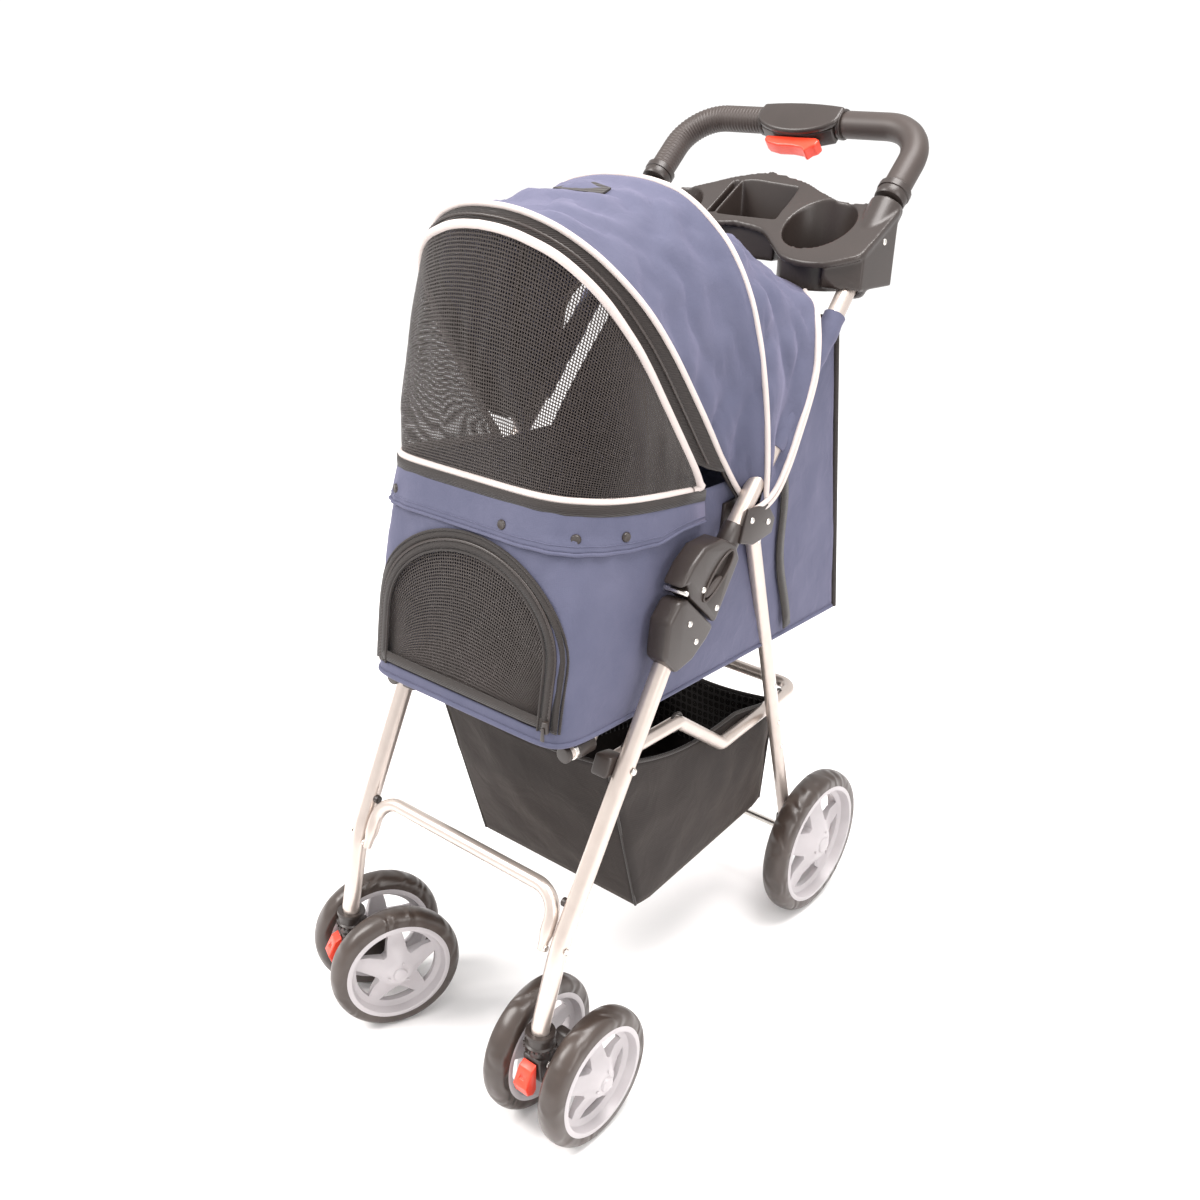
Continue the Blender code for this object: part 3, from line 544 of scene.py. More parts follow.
def makeLegs():
    stemX, stemY = tubes["stem"]
    for Word, word, side in sides:
        leg = rounded([legPoint(0.509), legPoint(0.222), (stemX, stemY, 0.140)], 0.16, 14)
        leg.append(Vector((stemX, stemY, 0.122)))
        obj = bar(onSide(leg, side), tubes["frameRadius"], 7)
        place(obj, "frontLeg" + Word, "tube", "front_frame", "front_leg_" + word)
        line = [rearPoint(0.6075), rearPoint(0.1245)]
        obj = bar(onSide(line, side), tubes["rearRadius"], 7)
        place(obj, "rearLeg" + Word, "tube", "rear_legs", "rear_leg_" + word)
        heads = []
        for z in (0.570, 0.365, 0.306, 0.265):
            spot = rearPoint(z) + Vector((tubes["rearRadius"] - 0.0004, 0, 0))
            heads.append(rivet(onSide([spot], side)[0], 0.0031, (side, 0, 0), 0.0016))
        place(joinAll(heads), "rearLegRivets" + Word, "zinc", "rear_legs")
        line = [handlePoint(0.5445), handlePoint(tubes["collar"][1] - 0.0045)]
        obj = bar(onSide(line, side), tubes["frameRadius"], 7)
        place(obj, "handleTube" + Word, "tube", "handle_frame", "handle_tube_" + word)
        foot = rearPoint(0.1245)
        cap = slab([(foot.y - 0.012, 0.108), (foot.y + 0.014, 0.108), (foot.y + 0.012, 0.130),
                    (foot.y - 0.010, 0.136)], foot.x - 0.0086, foot.x + 0.0096)
        if side < 0:
            cap.data.transform(Matrix.Scale(-1, 4, (1, 0, 0)))
            tidyMesh(cap)
        roundEdges(cap, 0.0025)
        place(cap, "rearLegFoot" + Word, "dark", "rear_legs")


def makeCrossbar():
    low, high = legPoint(0.215), legPoint(0.268)
    half = [(0.1290, low.y - 0.002, 0.215), (0.1290, high.y - 0.004, 0.268)]
    path = rounded([half[0], half[1]] + mirrored([half[1], half[0]]), 0.028, 10)
    flat = [0.55 if abs(p.x) > 0.1285 and p.z < 0.226 else 1.0 for p in path]
    ends = [path[0].lerp(path[1], share) for share in (0.0, 0.35, 0.6)]
    others = [path[-2].lerp(path[-1], share) for share in (0.4, 0.65, 1.0)]
    path = ends + path[1:-1] + others
    flat = [0.6, 0.75, 1.0] + [1.0] * (len(path) - 6) + [1.0, 0.75, 0.6]
    obj = bar(path, 0.0075, 7, radii=flat)
    place(obj, "frontCrossbar", "tube", "front_frame", "front_crossbar")
    heads = [rivet((side * 0.1345, low.y - 0.0015, 0.219), 0.0034, (-side, 0, 0), 0.002)
             for _, _, side in sides]
    heads += [rivet((side * 0.1570, low.y + 0.003, 0.224), 0.0034, (side, 0, 0), 0.0018) for _, _, side in sides]
    place(joinAll(heads), "crossbarRivets", "zinc", "front_frame")
    plugs = []
    for _, _, side in sides:
        plug = disc((side * 0.1372, high.y - 0.004, 0.262), 0.0046, 0.006, "X", 20)
        roundEdges(plug, 0.001)
        plugs.append(plug)
    place(joinAll(plugs), "crossbarPlugs", "dark", "front_frame")


def makeBasketFrame():
    linkY, linkZ = tubes["link"]
    crossY, crossZ = tubes["cross"]
    side = [(0.1345, linkY - 0.012, linkZ + 0.0005), (0.1325, -0.150, 0.3900), (0.1305, -0.072, 0.388),
            (0.1220, 0.029, 0.318), (0.1055, crossY, crossZ), (0.0990, 0.222, 0.313)]
    path = rounded(side + mirrored(reversed(side)), 0.020, 9)
    obj = bar(path, tubes["linkRadius"], 7)
    place(obj, "basketFrame", "tube", "carriage", "basket_frame")
    rail = rounded([(0.1195, -0.235, 0.4130), (0.1195, -0.205, 0.4130), (0.0915, -0.155, 0.4130),
                    (0.0915, 0.205, 0.4130)], 0.030, 8)
    parts = [bar(rail, tubes["linkRadius"], 6), bar(mirrored(rail), tubes["linkRadius"], 6)]
    parts += [bar([Vector((-0.0915, y, 0.4132)), Vector((0.0915, y, 0.4132))], 0.0055, 6) for y in (-0.130, 0.170)]
    place(joinAll(parts), "floorFrame", "tube", "carriage", "floor_frame")
    plugs, rings = [], []
    for _, _, s in sides:
        plug = disc((s * 0.1195, -0.2378, 0.4130), 0.0083, 0.006, "Y", 28)
        roundEdges(plug, 0.0014)
        plugs.append(plug)
        collar = disc((s * 0.1195, -0.214, 0.4130), 0.0098, 0.024, "Y", 28)
        roundEdges(collar, 0.0014)
        plugs.append(collar)
        ring = disc((s * 0.1195, -0.2275, 0.4130), 0.0086, 0.007, "Y", 28)
        roundEdges(ring, 0.0008)
        rings.append(ring)
    place(joinAll(plugs), "floorFramePlugs", "dark", "carriage")
    place(joinAll(rings), "floorFrameRings", "zinc", "carriage")
    blocks = []
    for _, _, s in sides:
        block = slab([(linkY - 0.020, 0.3820), (linkY + 0.006, 0.3800), (linkY + 0.010, 0.398),
                      (linkY - 0.012, 0.402)], s * 0.1245, s * 0.1445)
        roundEdges(block, 0.003)
        blocks.append(block)
    place(joinAll(blocks), "linkBlocks", "dark", "carriage")
    heads = [rivet((s * 0.1636, linkY, linkZ), 0.0038, (s, 0, 0), 0.002) for _, _, s in sides]
    place(joinAll(heads), "linkRivets", "zinc", "front_frame")


makeLegs()
makeCrossbar()
makeBasketFrame()
print("tubes made")


# fold locks and bow brackets

locks = {"inner": 0.1462, "outer": 0.1715, "edge": 0.0055}


def makeLocks():
    lower = [(-0.158, 0.499), (-0.1545, 0.536), (-0.1385, 0.5530), (-0.1275, 0.5530), (-0.1235, 0.5505),
             (-0.079, 0.5115), (-0.090, 0.500), (-0.112, 0.485), (-0.137, 0.479)]
    upper = [(-0.1385, 0.5665), (-0.122, 0.585), (-0.103, 0.598), (-0.075, 0.600), (-0.050, 0.588),
             (-0.042, 0.572), (-0.0775, 0.5135), (-0.1225, 0.5525), (-0.1262, 0.5665)]
    for Word, word, side in sides:
        inner, outer = side * locks["inner"], side * locks["outer"]
        for outline, name, body, node in ((lower, "lowerLock", "front_frame", "lower_lock_"),
                                          (upper, "upperLock", "handle_frame", "upper_lock_")):
            obj = slab(outline, inner, outer)
            roundEdges(obj, locks["edge"], 5)
            if name == "upperLock":
                well = slab(oval((-0.0790, 0.5640), 0.0290, 0.0085, 40), outer - side * 0.0045, outer + side * 0.01)
                carve(obj, well)
                roundEdges(obj, 0.0008, 2, 50)
            place(obj, name + Word, "dark", body, node + word)
        lip = bar([Vector((outer + side * 0.0004, y, z)) for y, z in oval((-0.0790, 0.5640), 0.0300, 0.0095, 40)],
                  0.0012, 4, closed=True)
        place(lip, "upperLockRim" + Word, "grip", "handle_frame")
        button = slab(oval((-0.0850, 0.5540), 0.0150, 0.0052, 40, 28), outer - side * 0.0044, outer + side * 0.0002)
        roundEdges(button, 0.0016)
        place(button, "lockButton" + Word, "grip", "handle_frame")
        heads = [rivet((outer - side * 0.0002, y, z), 0.0034, (side, 0, 0), 0.0018)
                 for y, z in ((-0.121, 0.526), (-0.109, 0.504))]
        place(joinAll(heads), "lowerLockRivets" + Word, "zinc", "front_frame")
        heads = [rivet((outer - side * 0.0002, y, z), 0.0034, (side, 0, 0), 0.0018)
                 for y, z in ((-0.102, 0.5555), (-0.0775, 0.530))]
        place(joinAll(heads), "upperLockRivets" + Word, "zinc", "handle_frame")
        neck = bar([handlePoint(0.578), handlePoint(0.600)], 0.0118, 7)
        if side < 0:
            neck.data.transform(Matrix.Scale(-1, 4, (1, 0, 0)))
            tidyMesh(neck)
        roundEdges(neck, 0.001)
        place(neck, "lockNeck" + Word, "dark", "handle_frame")
        pin = spun([(-0.0135, 0.0), (-0.0135, 0.0022), (-0.0125, 0.0028), (0.0125, 0.0028), (0.0135, 0.0022),
                    (0.0135, 0.0)], 24)
        pin.data.transform(Matrix.Translation((side * 0.1592, *tubes["fold"])))
        place(pin, "foldHingePin" + Word, "zinc", "front_frame", "fold_hinge_pin_" + word)
        plate = slab([(-0.044, 0.5870), (-0.020, 0.5800), (0.0130, 0.585), (0.0170, 0.600), (0.0020, 0.6180),
                      (-0.033, 0.6200)], side * 0.1675, side * 0.1712)
        roundEdges(plate, 0.0012)
        inside = slab([(-0.030, 0.5855), (0.002, 0.5855), (0.0175, 0.603), (0.006, 0.6195), (-0.026, 0.6165)],
                      side * 0.1347, side * 0.1388)
        roundEdges(inside, 0.0010)
        place(joinAll([plate, inside]), "bowBracket" + Word, "dark", "handle_frame", "bow_bracket_" + word)
        heads = [rivet((side * 0.1711, y, z), 0.0034, (side, 0, 0), 0.002) for y, z in ((0.004, 0.5990), (-0.026, 0.6070))]
        place(joinAll(heads), "bowBracketRivets" + Word, "zinc", "handle_frame")


def oval(centre, long, short, count, tilt=42.0):
    # Points of an ellipse in (y, z) whose long axis is tilted up and back.
    lean = math.radians(tilt)
    out = []
    for k in range(count):
        a, b = long * math.cos(2 * math.pi * k / count), short * math.sin(2 * math.pi * k / count)
        out.append((centre[0] + a * math.cos(lean) - b * math.sin(lean),
                    centre[1] + a * math.sin(lean) + b * math.cos(lean)))
    return out


makeLocks()
print("locks made")


# wheels and casters

wheels = {"frontTyre": 0.0735, "frontRim": 0.0585, "frontWidth": 0.028, "frontHub": 0.0165,
          "rearTyre": 0.096, "rearRim": 0.0785, "rearWidth": 0.032, "rearHub": 0.022, "spokes": 5}


def rimShape(rim, width, hub, bore):
    # Dished rim: raised hub, five broad spokes, bead that stands proud; outer face towards +X.
    half = width / 2
    face = half + 0.0006
    profile = [(-half + 0.002, bore), (half + 0.004, bore), (half + 0.004, hub * 0.62), (half + 0.001, hub * 0.95),
               (half - 0.0045, hub * 1.25), (0.0030, rim * 0.62), (0.0020, rim - 0.0120), (0.0052, rim - 0.0068),
               (face, rim - 0.0048), (face + 0.0004, rim - 0.0020), (face - 0.0006, rim + 0.0006),
               (-face + 0.0006, rim + 0.0006), (-face, rim - 0.0020), (-face, rim - 0.0048), (-0.0065, rim - 0.0075),
               (-0.0040, rim - 0.0120), (-0.0030, hub * 1.4), (-half + 0.002, hub)]
    obj = spun(profile, 80)
    low, high = hub * 1.42, rim - 0.0125
    for spoke in range(wheels["spokes"]):
        middle = 2 * math.pi * (spoke + 0.5) / wheels["spokes"]
        corners = [(low, 0.10), (high * 0.80, 0.36), (high, 0.47)]
        corners += [(high, 0.47 - 0.94 * k / 6) for k in range(1, 6)]
        corners += [(high, -0.47), (high * 0.80, -0.36), (low, -0.10)]
        outline = [(r * math.sin(middle + spread), r * math.cos(middle + spread)) for r, spread in corners]
        carve(obj, slab(outline, -0.04, 0.04))
    roundEdges(obj, 0.0011, 3, 38)
    cap = spun([(half + 0.0042, 0.0), (half + 0.0042, hub * 0.5), (half + 0.0065, hub * 0.44), (half + 0.0075, hub * 0.3),
                (half + 0.0078, 0.0)], 48)
    screws = []
    for k in range(3):
        turn = 2 * math.pi * k / 3 + 0.3
        spot = (half + 0.0036, hub * 0.78 * math.sin(turn), hub * 0.78 * math.cos(turn))
        screws.append(rivet(spot, 0.0016, (1, 0, 0), 0.0012))
    return joinAll([obj, cap] + screws)


def tyreShape(radius, rim, width):
    half = width / 2
    crown = [(half * math.cos(math.pi * k / 22) * (1.0 + 0.05 * math.sin(math.pi * k / 22)),
              rim + 0.0005 + (radius - rim - 0.0005) * math.sin(math.pi * k / 22) ** 0.62) for k in range(23)]
    return spun([(-half + 0.003, rim - 0.001), (half - 0.003, rim - 0.001)] + crown, 120)


def setWheel(obj, node, name, look, body, outward, turn=0.0):
    # A copy of a wheel part where the CAD has it, its outer face towards outward.
    copy = obj.copy()
    copy.data = obj.data.copy()
    bpy.context.scene.collection.objects.link(copy)
    low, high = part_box(node)
    flip = Matrix.Rotation(math.pi if outward < 0 else 0.0, 4, "Z")
    copy.data.transform(Matrix.Translation((low + high) / 2) @ Matrix.Rotation(math.radians(turn), 4, "Z") @ flip)
    place(copy, name, look, body, node, smooth=38)


def makeWheels():
    frontRim = rimShape(wheels["frontRim"], wheels["frontWidth"], wheels["frontHub"], 0.0040)
    frontTyre = tyreShape(wheels["frontTyre"], wheels["frontRim"], wheels["frontWidth"])
    rearRim = rimShape(wheels["rearRim"], wheels["rearWidth"], wheels["rearHub"], 0.0049)
    rearTyre = tyreShape(wheels["rearTyre"], wheels["rearRim"], wheels["rearWidth"])
    for Word, word, side in sides:
        turn = 0.0 if side > 0 else casters["farSwivel"]
        for spot, outward in (("outer", side), ("inner", -side)):
            body = "front_wheel_%s_%s" % (spot, word)
            name = spot.capitalize() + Word
            setWheel(frontRim, "rim_front_%s_%s" % (spot, word), "frontRim" + name, "white", body, outward, turn)
            setWheel(frontTyre, "tyre_front_%s_%s" % (spot, word), "frontTyre" + name, "tyre", body, outward, turn)
        setWheel(rearRim, "rim_rear_" + word, "rearRim" + Word, "white", "rear_wheel_" + word, side)
        setWheel(rearTyre, "tyre_rear_" + word, "rearTyre" + Word, "tyre", "rear_wheel_" + word, side)
    for pattern in (frontRim, frontTyre, rearRim, rearTyre):
        bpy.data.objects.remove(pattern)


casters = {"farSwivel": -25.0, "trail": 0.0385, "axleHeight": 0.0735, "step": 0.0372}


def casterParts():
    # Fork, lock lever and axle with the swivel axis at x = y = 0, trailing towards +Y.
    fork = slab([(-0.0135, 0.1088), (0.014, 0.1088), (0.030, 0.0935), (0.0485, 0.0865), (0.0510, 0.0655),
                 (0.036, 0.0605), (0.010, 0.0720), (-0.010, 0.0800)], -0.0122, 0.0122)
    roundEdges(fork, 0.0032, 4)
    boss = spun([(0.1060, 0.0), (0.1060, 0.0125), (0.1160, 0.0120), (0.1165, 0.0)], 40, "Z")
    knob = disc((0, 0.0400, 0.0985), 0.0085, 0.022, "X", 32)
    roundEdges(knob, 0.0016)
    heel = slab([(0.020, 0.098), (0.036, 0.105), (0.046, 0.096), (0.040, 0.084)], -0.0085, 0.0085)
    roundEdges(heel, 0.002)
    lever = slab([(-0.0142, 0.1050), (-0.0215, 0.1010), (-0.0300, 0.0840), (-0.0262, 0.0735), (-0.0185, 0.0700),
                  (-0.0138, 0.0740), (-0.0142, 0.0880)], -0.0085, 0.0085)
    carve(lever, slab([(-0.036, 0.0895), (-0.0245, 0.0905), (-0.0235, 0.0990), (-0.036, 0.1000)], -0.0030, 0.0030))
    roundEdges(lever, 0.0014)
    axle = disc((0, casters["trail"], casters["axleHeight"]), 0.0034, 0.096, "X", 28)
    roundEdges(axle, 0.0007)
    return joinAll([fork, boss, knob, heel]), lever, axle


def makeCasters():
    for Word, word, side in sides:
        turn = 0.0 if side > 0 else casters["farSwivel"]
        where = Matrix.Translation((side * tubes["stem"][0], tubes["stem"][1], 0)) @ Matrix.Rotation(math.radians(turn), 4, "Z")
        fork, lever, axle = casterParts()
        heads = []
        for s in (-1, 1):
            heads.append(rivet((s * 0.0121, 0.0, 0.0985), 0.0036, (s, 0, 0), 0.0018))
        for obj in [fork, lever, axle] + heads:
            obj.data.transform(where)
        place(fork, "casterFork" + Word, "dark", "caster_" + word, "caster_fork_" + word)
        place(lever, "swivelLock" + Word, "red", "swivel_lock_%s_body" % word, "swivel_lock_" + word)
        place(axle, "casterAxle" + Word, "zinc", "caster_" + word, "caster_axle_" + word)
        place(joinAll(heads), "casterRivets" + Word, "zinc", "caster_" + word)
        socket = spun([(0.1168, 0.0099), (0.1168, 0.0150), (0.1200, 0.0158), (0.1215, 0.0140), (0.1300, 0.0138),
                       (0.1312, 0.0156), (0.1342, 0.0150), (0.1342, 0.0099)], 48, "Z")
        teeth = []
        for k in range(20):
            tooth = slab([(-0.0011, 0.0150), (0.0011, 0.0150), (0.0008, 0.0172), (-0.0008, 0.0172)], 0.1168, 0.1195, "Z")
            tooth.data.transform(Matrix.Rotation(2 * math.pi * k / 20, 4, "Z"))
            teeth.append(tooth)
        socket = joinAll([socket] + teeth)
        socket.data.transform(Matrix.Translation((side * tubes["stem"][0], tubes["stem"][1], 0)))
        place(socket, "casterSocket" + Word, "dark", "front_frame", "caster_socket_" + word)


def makeAxle():
    low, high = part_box("rear_axle")
    axle = disc((low + high) / 2, 0.0045, high.x - low.x, "X", 28)
    roundEdges(axle, 0.0008)
    place(axle, "rearAxle", "zinc", "rear_legs", "rear_axle")
    for Word, word, side in sides:
        bracket = slab([(0.213, 0.1185), (0.234, 0.1185), (0.2535, 0.106), (0.2535, 0.086), (0.236, 0.084),
                        (0.213, 0.104)], side * 0.1000, side * 0.1165)
        roundEdges(bracket, 0.0022)
        place(bracket, "axleBracket" + Word, "dark", "rear_legs", "axle_bracket_" + word)
        lever = slab([(0.240, 0.1180), (0.2500, 0.1190), (0.280, 0.1105), (0.300, 0.1020), (0.298, 0.0965),
                      (0.252, 0.1075)], side * 0.0850, side * 0.0993)
        roundEdges(lever, 0.0016)
        place(lever, "brakeLever" + Word, "red", "brake_" + word, "brake_lever_" + word)


makeWheels()
makeCasters()
makeAxle()
print("wheels and casters made")


# handle loop, console and tray

handle = {"tilt": math.radians(46), "rise": 0.098, "corner": 0.062, "gripRadius": 0.0148, "ribPitch": 0.0042,
          "ribDepth": 0.0007, "gripEnd": 0.052}


def loopPoint(x, rise, lift=0.0):
    # A place in the handle loop's leaning plane; lift is square to it, up and forward.
    y, z = tubes["collar"]
    lean = handle["tilt"]
    return Vector((x, y + rise * math.sin(lean) - lift * math.cos(lean), z + rise * math.cos(lean) + lift * math.sin(lean)))


def loopSlab(outline, low, high):
    # An (x, rise) outline extruded square to the loop's plane.
    obj = slab(outline, 0.0, 1.0, "Z")
    for vert in obj.data.vertices:
        x, rise, depth = vert.co
        vert.co = loopPoint(x, rise, high if depth > 0.5 else low)
    editAll(obj)
    bpy.ops.mesh.normals_make_consistent(inside=False)
    bpy.ops.object.mode_set(mode="OBJECT")
    return obj


def makeHandle():
    rise = handle["rise"]
    half = rounded([loopPoint(tubes["collarX"], 0.0), loopPoint(tubes["collarX"], rise), loopPoint(0.0, rise)],
                   handle["corner"], 18)
    obj = bar(half[:-1] + mirrored(reversed(half[:-1])), 0.0085, 7)
    place(obj, "handleBar", "tube", "handle_frame", "handle_bar")
    for Word, word, side in sides:
        line = [loopPoint(tubes["collarX"], 0.0126)] + half[1:-1] + [loopPoint(handle["gripEnd"], rise)]
        count = 60 if side > 0 else 300
        line = resample(line, count)
        ends = [0.90, 0.975, 1.0]
        radii = [1.0] * count
        if side < 0:
            length = sum((b - a).length for a, b in zip(line, line[1:]))
            for k in range(count):
                along = length * k / (count - 1)
                ribs = 0.5 + 0.5 * math.cos(2 * math.pi * along / handle["ribPitch"])
                radii[k] = 1.0 - handle["ribDepth"] / handle["gripRadius"] * ribs
        for k, share in enumerate(ends):
            radii[k] *= share
            radii[-1 - k] *= share
        grip = bar(onSide(line, side), handle["gripRadius"], 8, radii=radii)
        place(grip, "grip" + Word, "grip", "handle_frame", "grip_" + word, smooth=60)
        collar = bar(onSide([loopPoint(tubes["collarX"], r) for r in (-0.004, -0.003, 0.003, 0.0055, 0.006, 0.0125, 0.0135)],
                            side), 0.0168, 8, radii=[0.95, 1.0, 1.0, 1.0, 1.07, 1.07, 1.0])
        place(collar, "collar" + Word, "dark", "handle_frame", "collar_" + word)


def makeConsole():
    rise = handle["rise"]
    lens = [(x, rise + 0.0135 - 0.0035 * (x / 0.052) ** 2) for x in (-0.052, -0.035, -0.018, 0.0, 0.018, 0.035, 0.052)]
    lens += [(0.052 * math.cos(a), rise - 0.008 - 0.0215 * math.sin(a) ** 1.2)
             for a in [math.pi * k / 16 for k in range(1, 16)]]
    lens += [(-0.052, rise - 0.006)]
    lens.insert(7, (0.052, rise - 0.006))
    top = loopSlab(lens, 0.0090, 0.0172)
    roundEdges(top, 0.0036, 5)
    place(top, "consoleTop", "dark", "handle_frame", "console_top")
    base = loopSlab([(-0.048, rise + 0.0125), (0.048, rise + 0.0125), (0.048, rise - 0.0125), (-0.048, rise - 0.0125)],
                    -0.0135, 0.0088)
    roundEdges(base, 0.0055, 5)
    cheek = loopSlab([(-0.046, rise - 0.010), (0.046, rise - 0.010), (0.046, rise - 0.018), (0.020, rise - 0.0265),
                      (-0.020, rise - 0.0265), (-0.046, rise - 0.018)], -0.0115, 0.0088)
    roundEdges(cheek, 0.002)
    rings = []
    for s in (-1, 1):
        rings.append(bar([loopPoint(s * 0.0475, rise), loopPoint(s * 0.0525, rise)], 0.0166, 8))
        roundEdges(rings[-1], 0.0012)
    place(joinAll([base, cheek] + rings), "consoleBase", "dark", "handle_frame", "console_base")
    paddle = [(-0.034, rise - 0.0268), (0.030, rise - 0.0268), (0.036, rise - 0.0300), (0.034, rise - 0.0375),
              (0.028, rise - 0.0405), (0.024, rise - 0.0470), (0.018, rise - 0.0420), (0.004, rise - 0.0400),
              (-0.014, rise - 0.0405), (-0.028, rise - 0.0375), (-0.035, rise - 0.0330)]
    trigger = loopSlab(paddle, -0.0100, 0.0062)
    roundEdges(trigger, 0.0024, 4)
    place(trigger, "releaseTrigger", "red", "trigger", "release_trigger")


tray = {"slope": math.radians(30), "cup": (0.099, 0.173), "cupRadius": 0.038, "wall": 0.0026, "voxel": 0.0013,
        "plate": 0.007}


def trayTop(y):
    return tubes["collar"][1] - (tubes["collar"][0] - y) * math.tan(tray["slope"])


def makeTray():
    half = smoothLine([(0.0, 0.232, 0), (0.045, 0.227, 0), (0.085, 0.214, 0), (0.113, 0.208, 0), (0.140, 0.211, 0),
                       (0.168, 0.214, 0)], 5)
    half += smoothLine([(0.173, 0.206, 0), (0.173, 0.160, 0), (0.171, 0.136, 0), (0.158, 0.126, 0), (0.140, 0.118, 0),
                        (0.112, 0.116, 0), (0.086, 0.122, 0), (0.064, 0.138, 0), (0.038, 0.156, 0), (0.0, 0.163, 0)], 5)
    outline = [(p.x, p.y) for p in half] + [(-p.x, p.y) for p in reversed(half[1:-1])]
    body = slab(outline, 0.0, 1.0, "Z")
    for vert in body.data.vertices:
        crown = 0.010 * max(0.0, 1 - abs(vert.co.x) / 0.10) * max(0.0, (vert.co.y - 0.18) / 0.052)
        vert.co.z = trayTop(vert.co.y) + crown - (0.0 if vert.co.z > 0.5 else tray["plate"])
    cupX, cupY = tray["cup"]
    slopeNormal = (0, -math.sin(tray["slope"]), math.cos(tray["slope"]))
    for _, _, side in sides:
        cup = disc((side * cupX, cupY, 0.8555), tray["cupRadius"] + tray["wall"], 0.099, "Z", 64)
        editAll(cup)
        bpy.ops.mesh.bisect(plane_co=(0, cupY, trayTop(cupY) - 0.0025), plane_no=slopeNormal, use_fill=True,
                            clear_outer=True)
        bpy.ops.object.mode_set(mode="OBJECT")
        carve(body, cup, "UNION")
        skirt = slab([(side * 0.172, 0.206), (side * 0.172, 0.140), (side * 0.136, 0.122), (side * 0.120, 0.150),
                      (side * 0.124, 0.206)], 0.812, 0.90, "Z")
        tidyMesh(skirt)
        editAll(skirt)
        bpy.ops.mesh.bisect(plane_co=(0, cupY, trayTop(cupY) - 0.0025), plane_no=slopeNormal, use_fill=True,
                            clear_outer=True)
        bpy.ops.mesh.select_all(action="SELECT")
        bpy.ops.mesh.bisect(plane_co=(0, 0.130, 0.812), plane_no=(0, -0.86, -0.5), use_fill=True, clear_outer=True)
        bpy.ops.object.mode_set(mode="OBJECT")
        carve(body, skirt, "UNION")
        sleeve = bar(onSide([handlePoint(0.812), handlePoint(0.8905)], side), 0.0182, 10)
        carve(body, sleeve, "UNION")
    pocket = slab([(-0.048, 0.168), (0.048, 0.168), (0.046, 0.223), (-0.046, 0.223)], 0.826, 0.905, "Z")
    editAll(pocket)
    bpy.ops.mesh.bisect(plane_co=(0, cupY, trayTop(cupY) - 0.0025), plane_no=slopeNormal, use_fill=True, clear_outer=True)
    bpy.ops.object.mode_set(mode="OBJECT")
    carve(body, pocket, "UNION")
    for _, _, side in sides:
        carve(body, disc((side * cupX, cupY, 0.885), tray["cupRadius"], 0.150, "Z", 64))
        carve(body, bar(onSide([handlePoint(0.79), handlePoint(0.95)], side), 0.0102, 8))
    first = body.modifiers.new("first", "REMESH")  # one clean skin, which the thin rib needs
    first.mode = "VOXEL"
    first.voxel_size = tray["voxel"]
    applyAll(body)
    for low, high in ((-0.0445, -0.0350), (-0.0320, 0.0445)):
        hollow = slab([(low, 0.1715), (high, 0.1716), (high * 0.96, 0.2194), (low * 0.96, 0.2195)], 0.8301, 0.99, "Z")
        carve(body, hollow)
    voxels = body.modifiers.new("voxels", "REMESH")
    voxels.mode = "VOXEL"
    voxels.voxel_size = tray["voxel"]
    melt = body.modifiers.new("melt", "SMOOTH")
    melt.factor = 0.5
    melt.iterations = 9
    thin = body.modifiers.new("thin", "DECIMATE")
    thin.ratio = 0.35
    applyAll(body)
    place(body, "accessoryTray", "dark", "handle_frame", "accessory_tray", smooth=70)
    heads = []
    for _, _, side in sides:
        spot = handlePoint(0.858) + Vector((0.0180, -0.004, 0))
        heads.append(rivet(onSide([spot], side)[0], 0.0036, (side, 0, 0), 0.002))
    place(joinAll(heads), "trayScrews", "zinc", "handle_frame")


makeHandle()
makeConsole()
makeTray()
print("handle made")


# canopy, bows and piping

canopy = {"hinge": (0.006, 0.600), "frontTilt": 37.0, "midTilt": 8.0, "columns": 97, "creaseDepth": 0.0070,
          "piping": 0.0029, "rearPiping": 0.0026}
frontBow = [(0.158, 0.010), (0.150, 0.022), (0.145, 0.050), (0.143, 0.091), (0.143, 0.125), (0.1425, 0.158), (0.139, 0.228),
            (0.128, 0.280), (0.104, 0.324), (0.074, 0.352), (0.044, 0.366), (0.020, 0.371), (0.0, 0.372)]
midBow = [(0.166, 0.010), (0.168, 0.045), (0.168, 0.080), (0.1665, 0.115), (0.163, 0.150), (0.158, 0.182), (0.147, 0.223),
          (0.127, 0.262), (0.100, 0.290), (0.072, 0.308), (0.050, 0.315), (0.024, 0.319), (0.0, 0.320)]
# side seam behind the handle tube, then across under the tray: (x, y, z)
rearEdge = [(0.1665, -0.028, 0.6140), (0.1685, -0.002, 0.6200), (0.1700, 0.015, 0.6320), (0.1705, 0.031, 0.6550),
            (0.1705, 0.0446, 0.6825), (0.1700, 0.0595, 0.7145), (0.1690, 0.0690, 0.7400), (0.1670, 0.0720, 0.7640),
            (0.1600, 0.0800, 0.7840), (0.1460, 0.0960, 0.8000), (0.1180, 0.1220, 0.8080), (0.070, 0.1400, 0.8160),
            (0.0, 0.1460, 0.8200)]


def bowPoint(x, height, tilt):
    y, z = canopy["hinge"]
    lean = math.radians(tilt)
    return Vector((x, y - height * math.sin(lean), z + height * math.cos(lean)))


def wholeArch(half, count):
    # Smooth half line mirrored into a whole arch of evenly spaced points, right side first.
    half = smoothLine(half, 8)
    return resample(half[:-1] + mirrored(reversed(half)), count)


def bowArch(points, tilt, count=0):
    return wholeArch([bowPoint(x, h, tilt) for x, h in points], count or canopy["columns"])


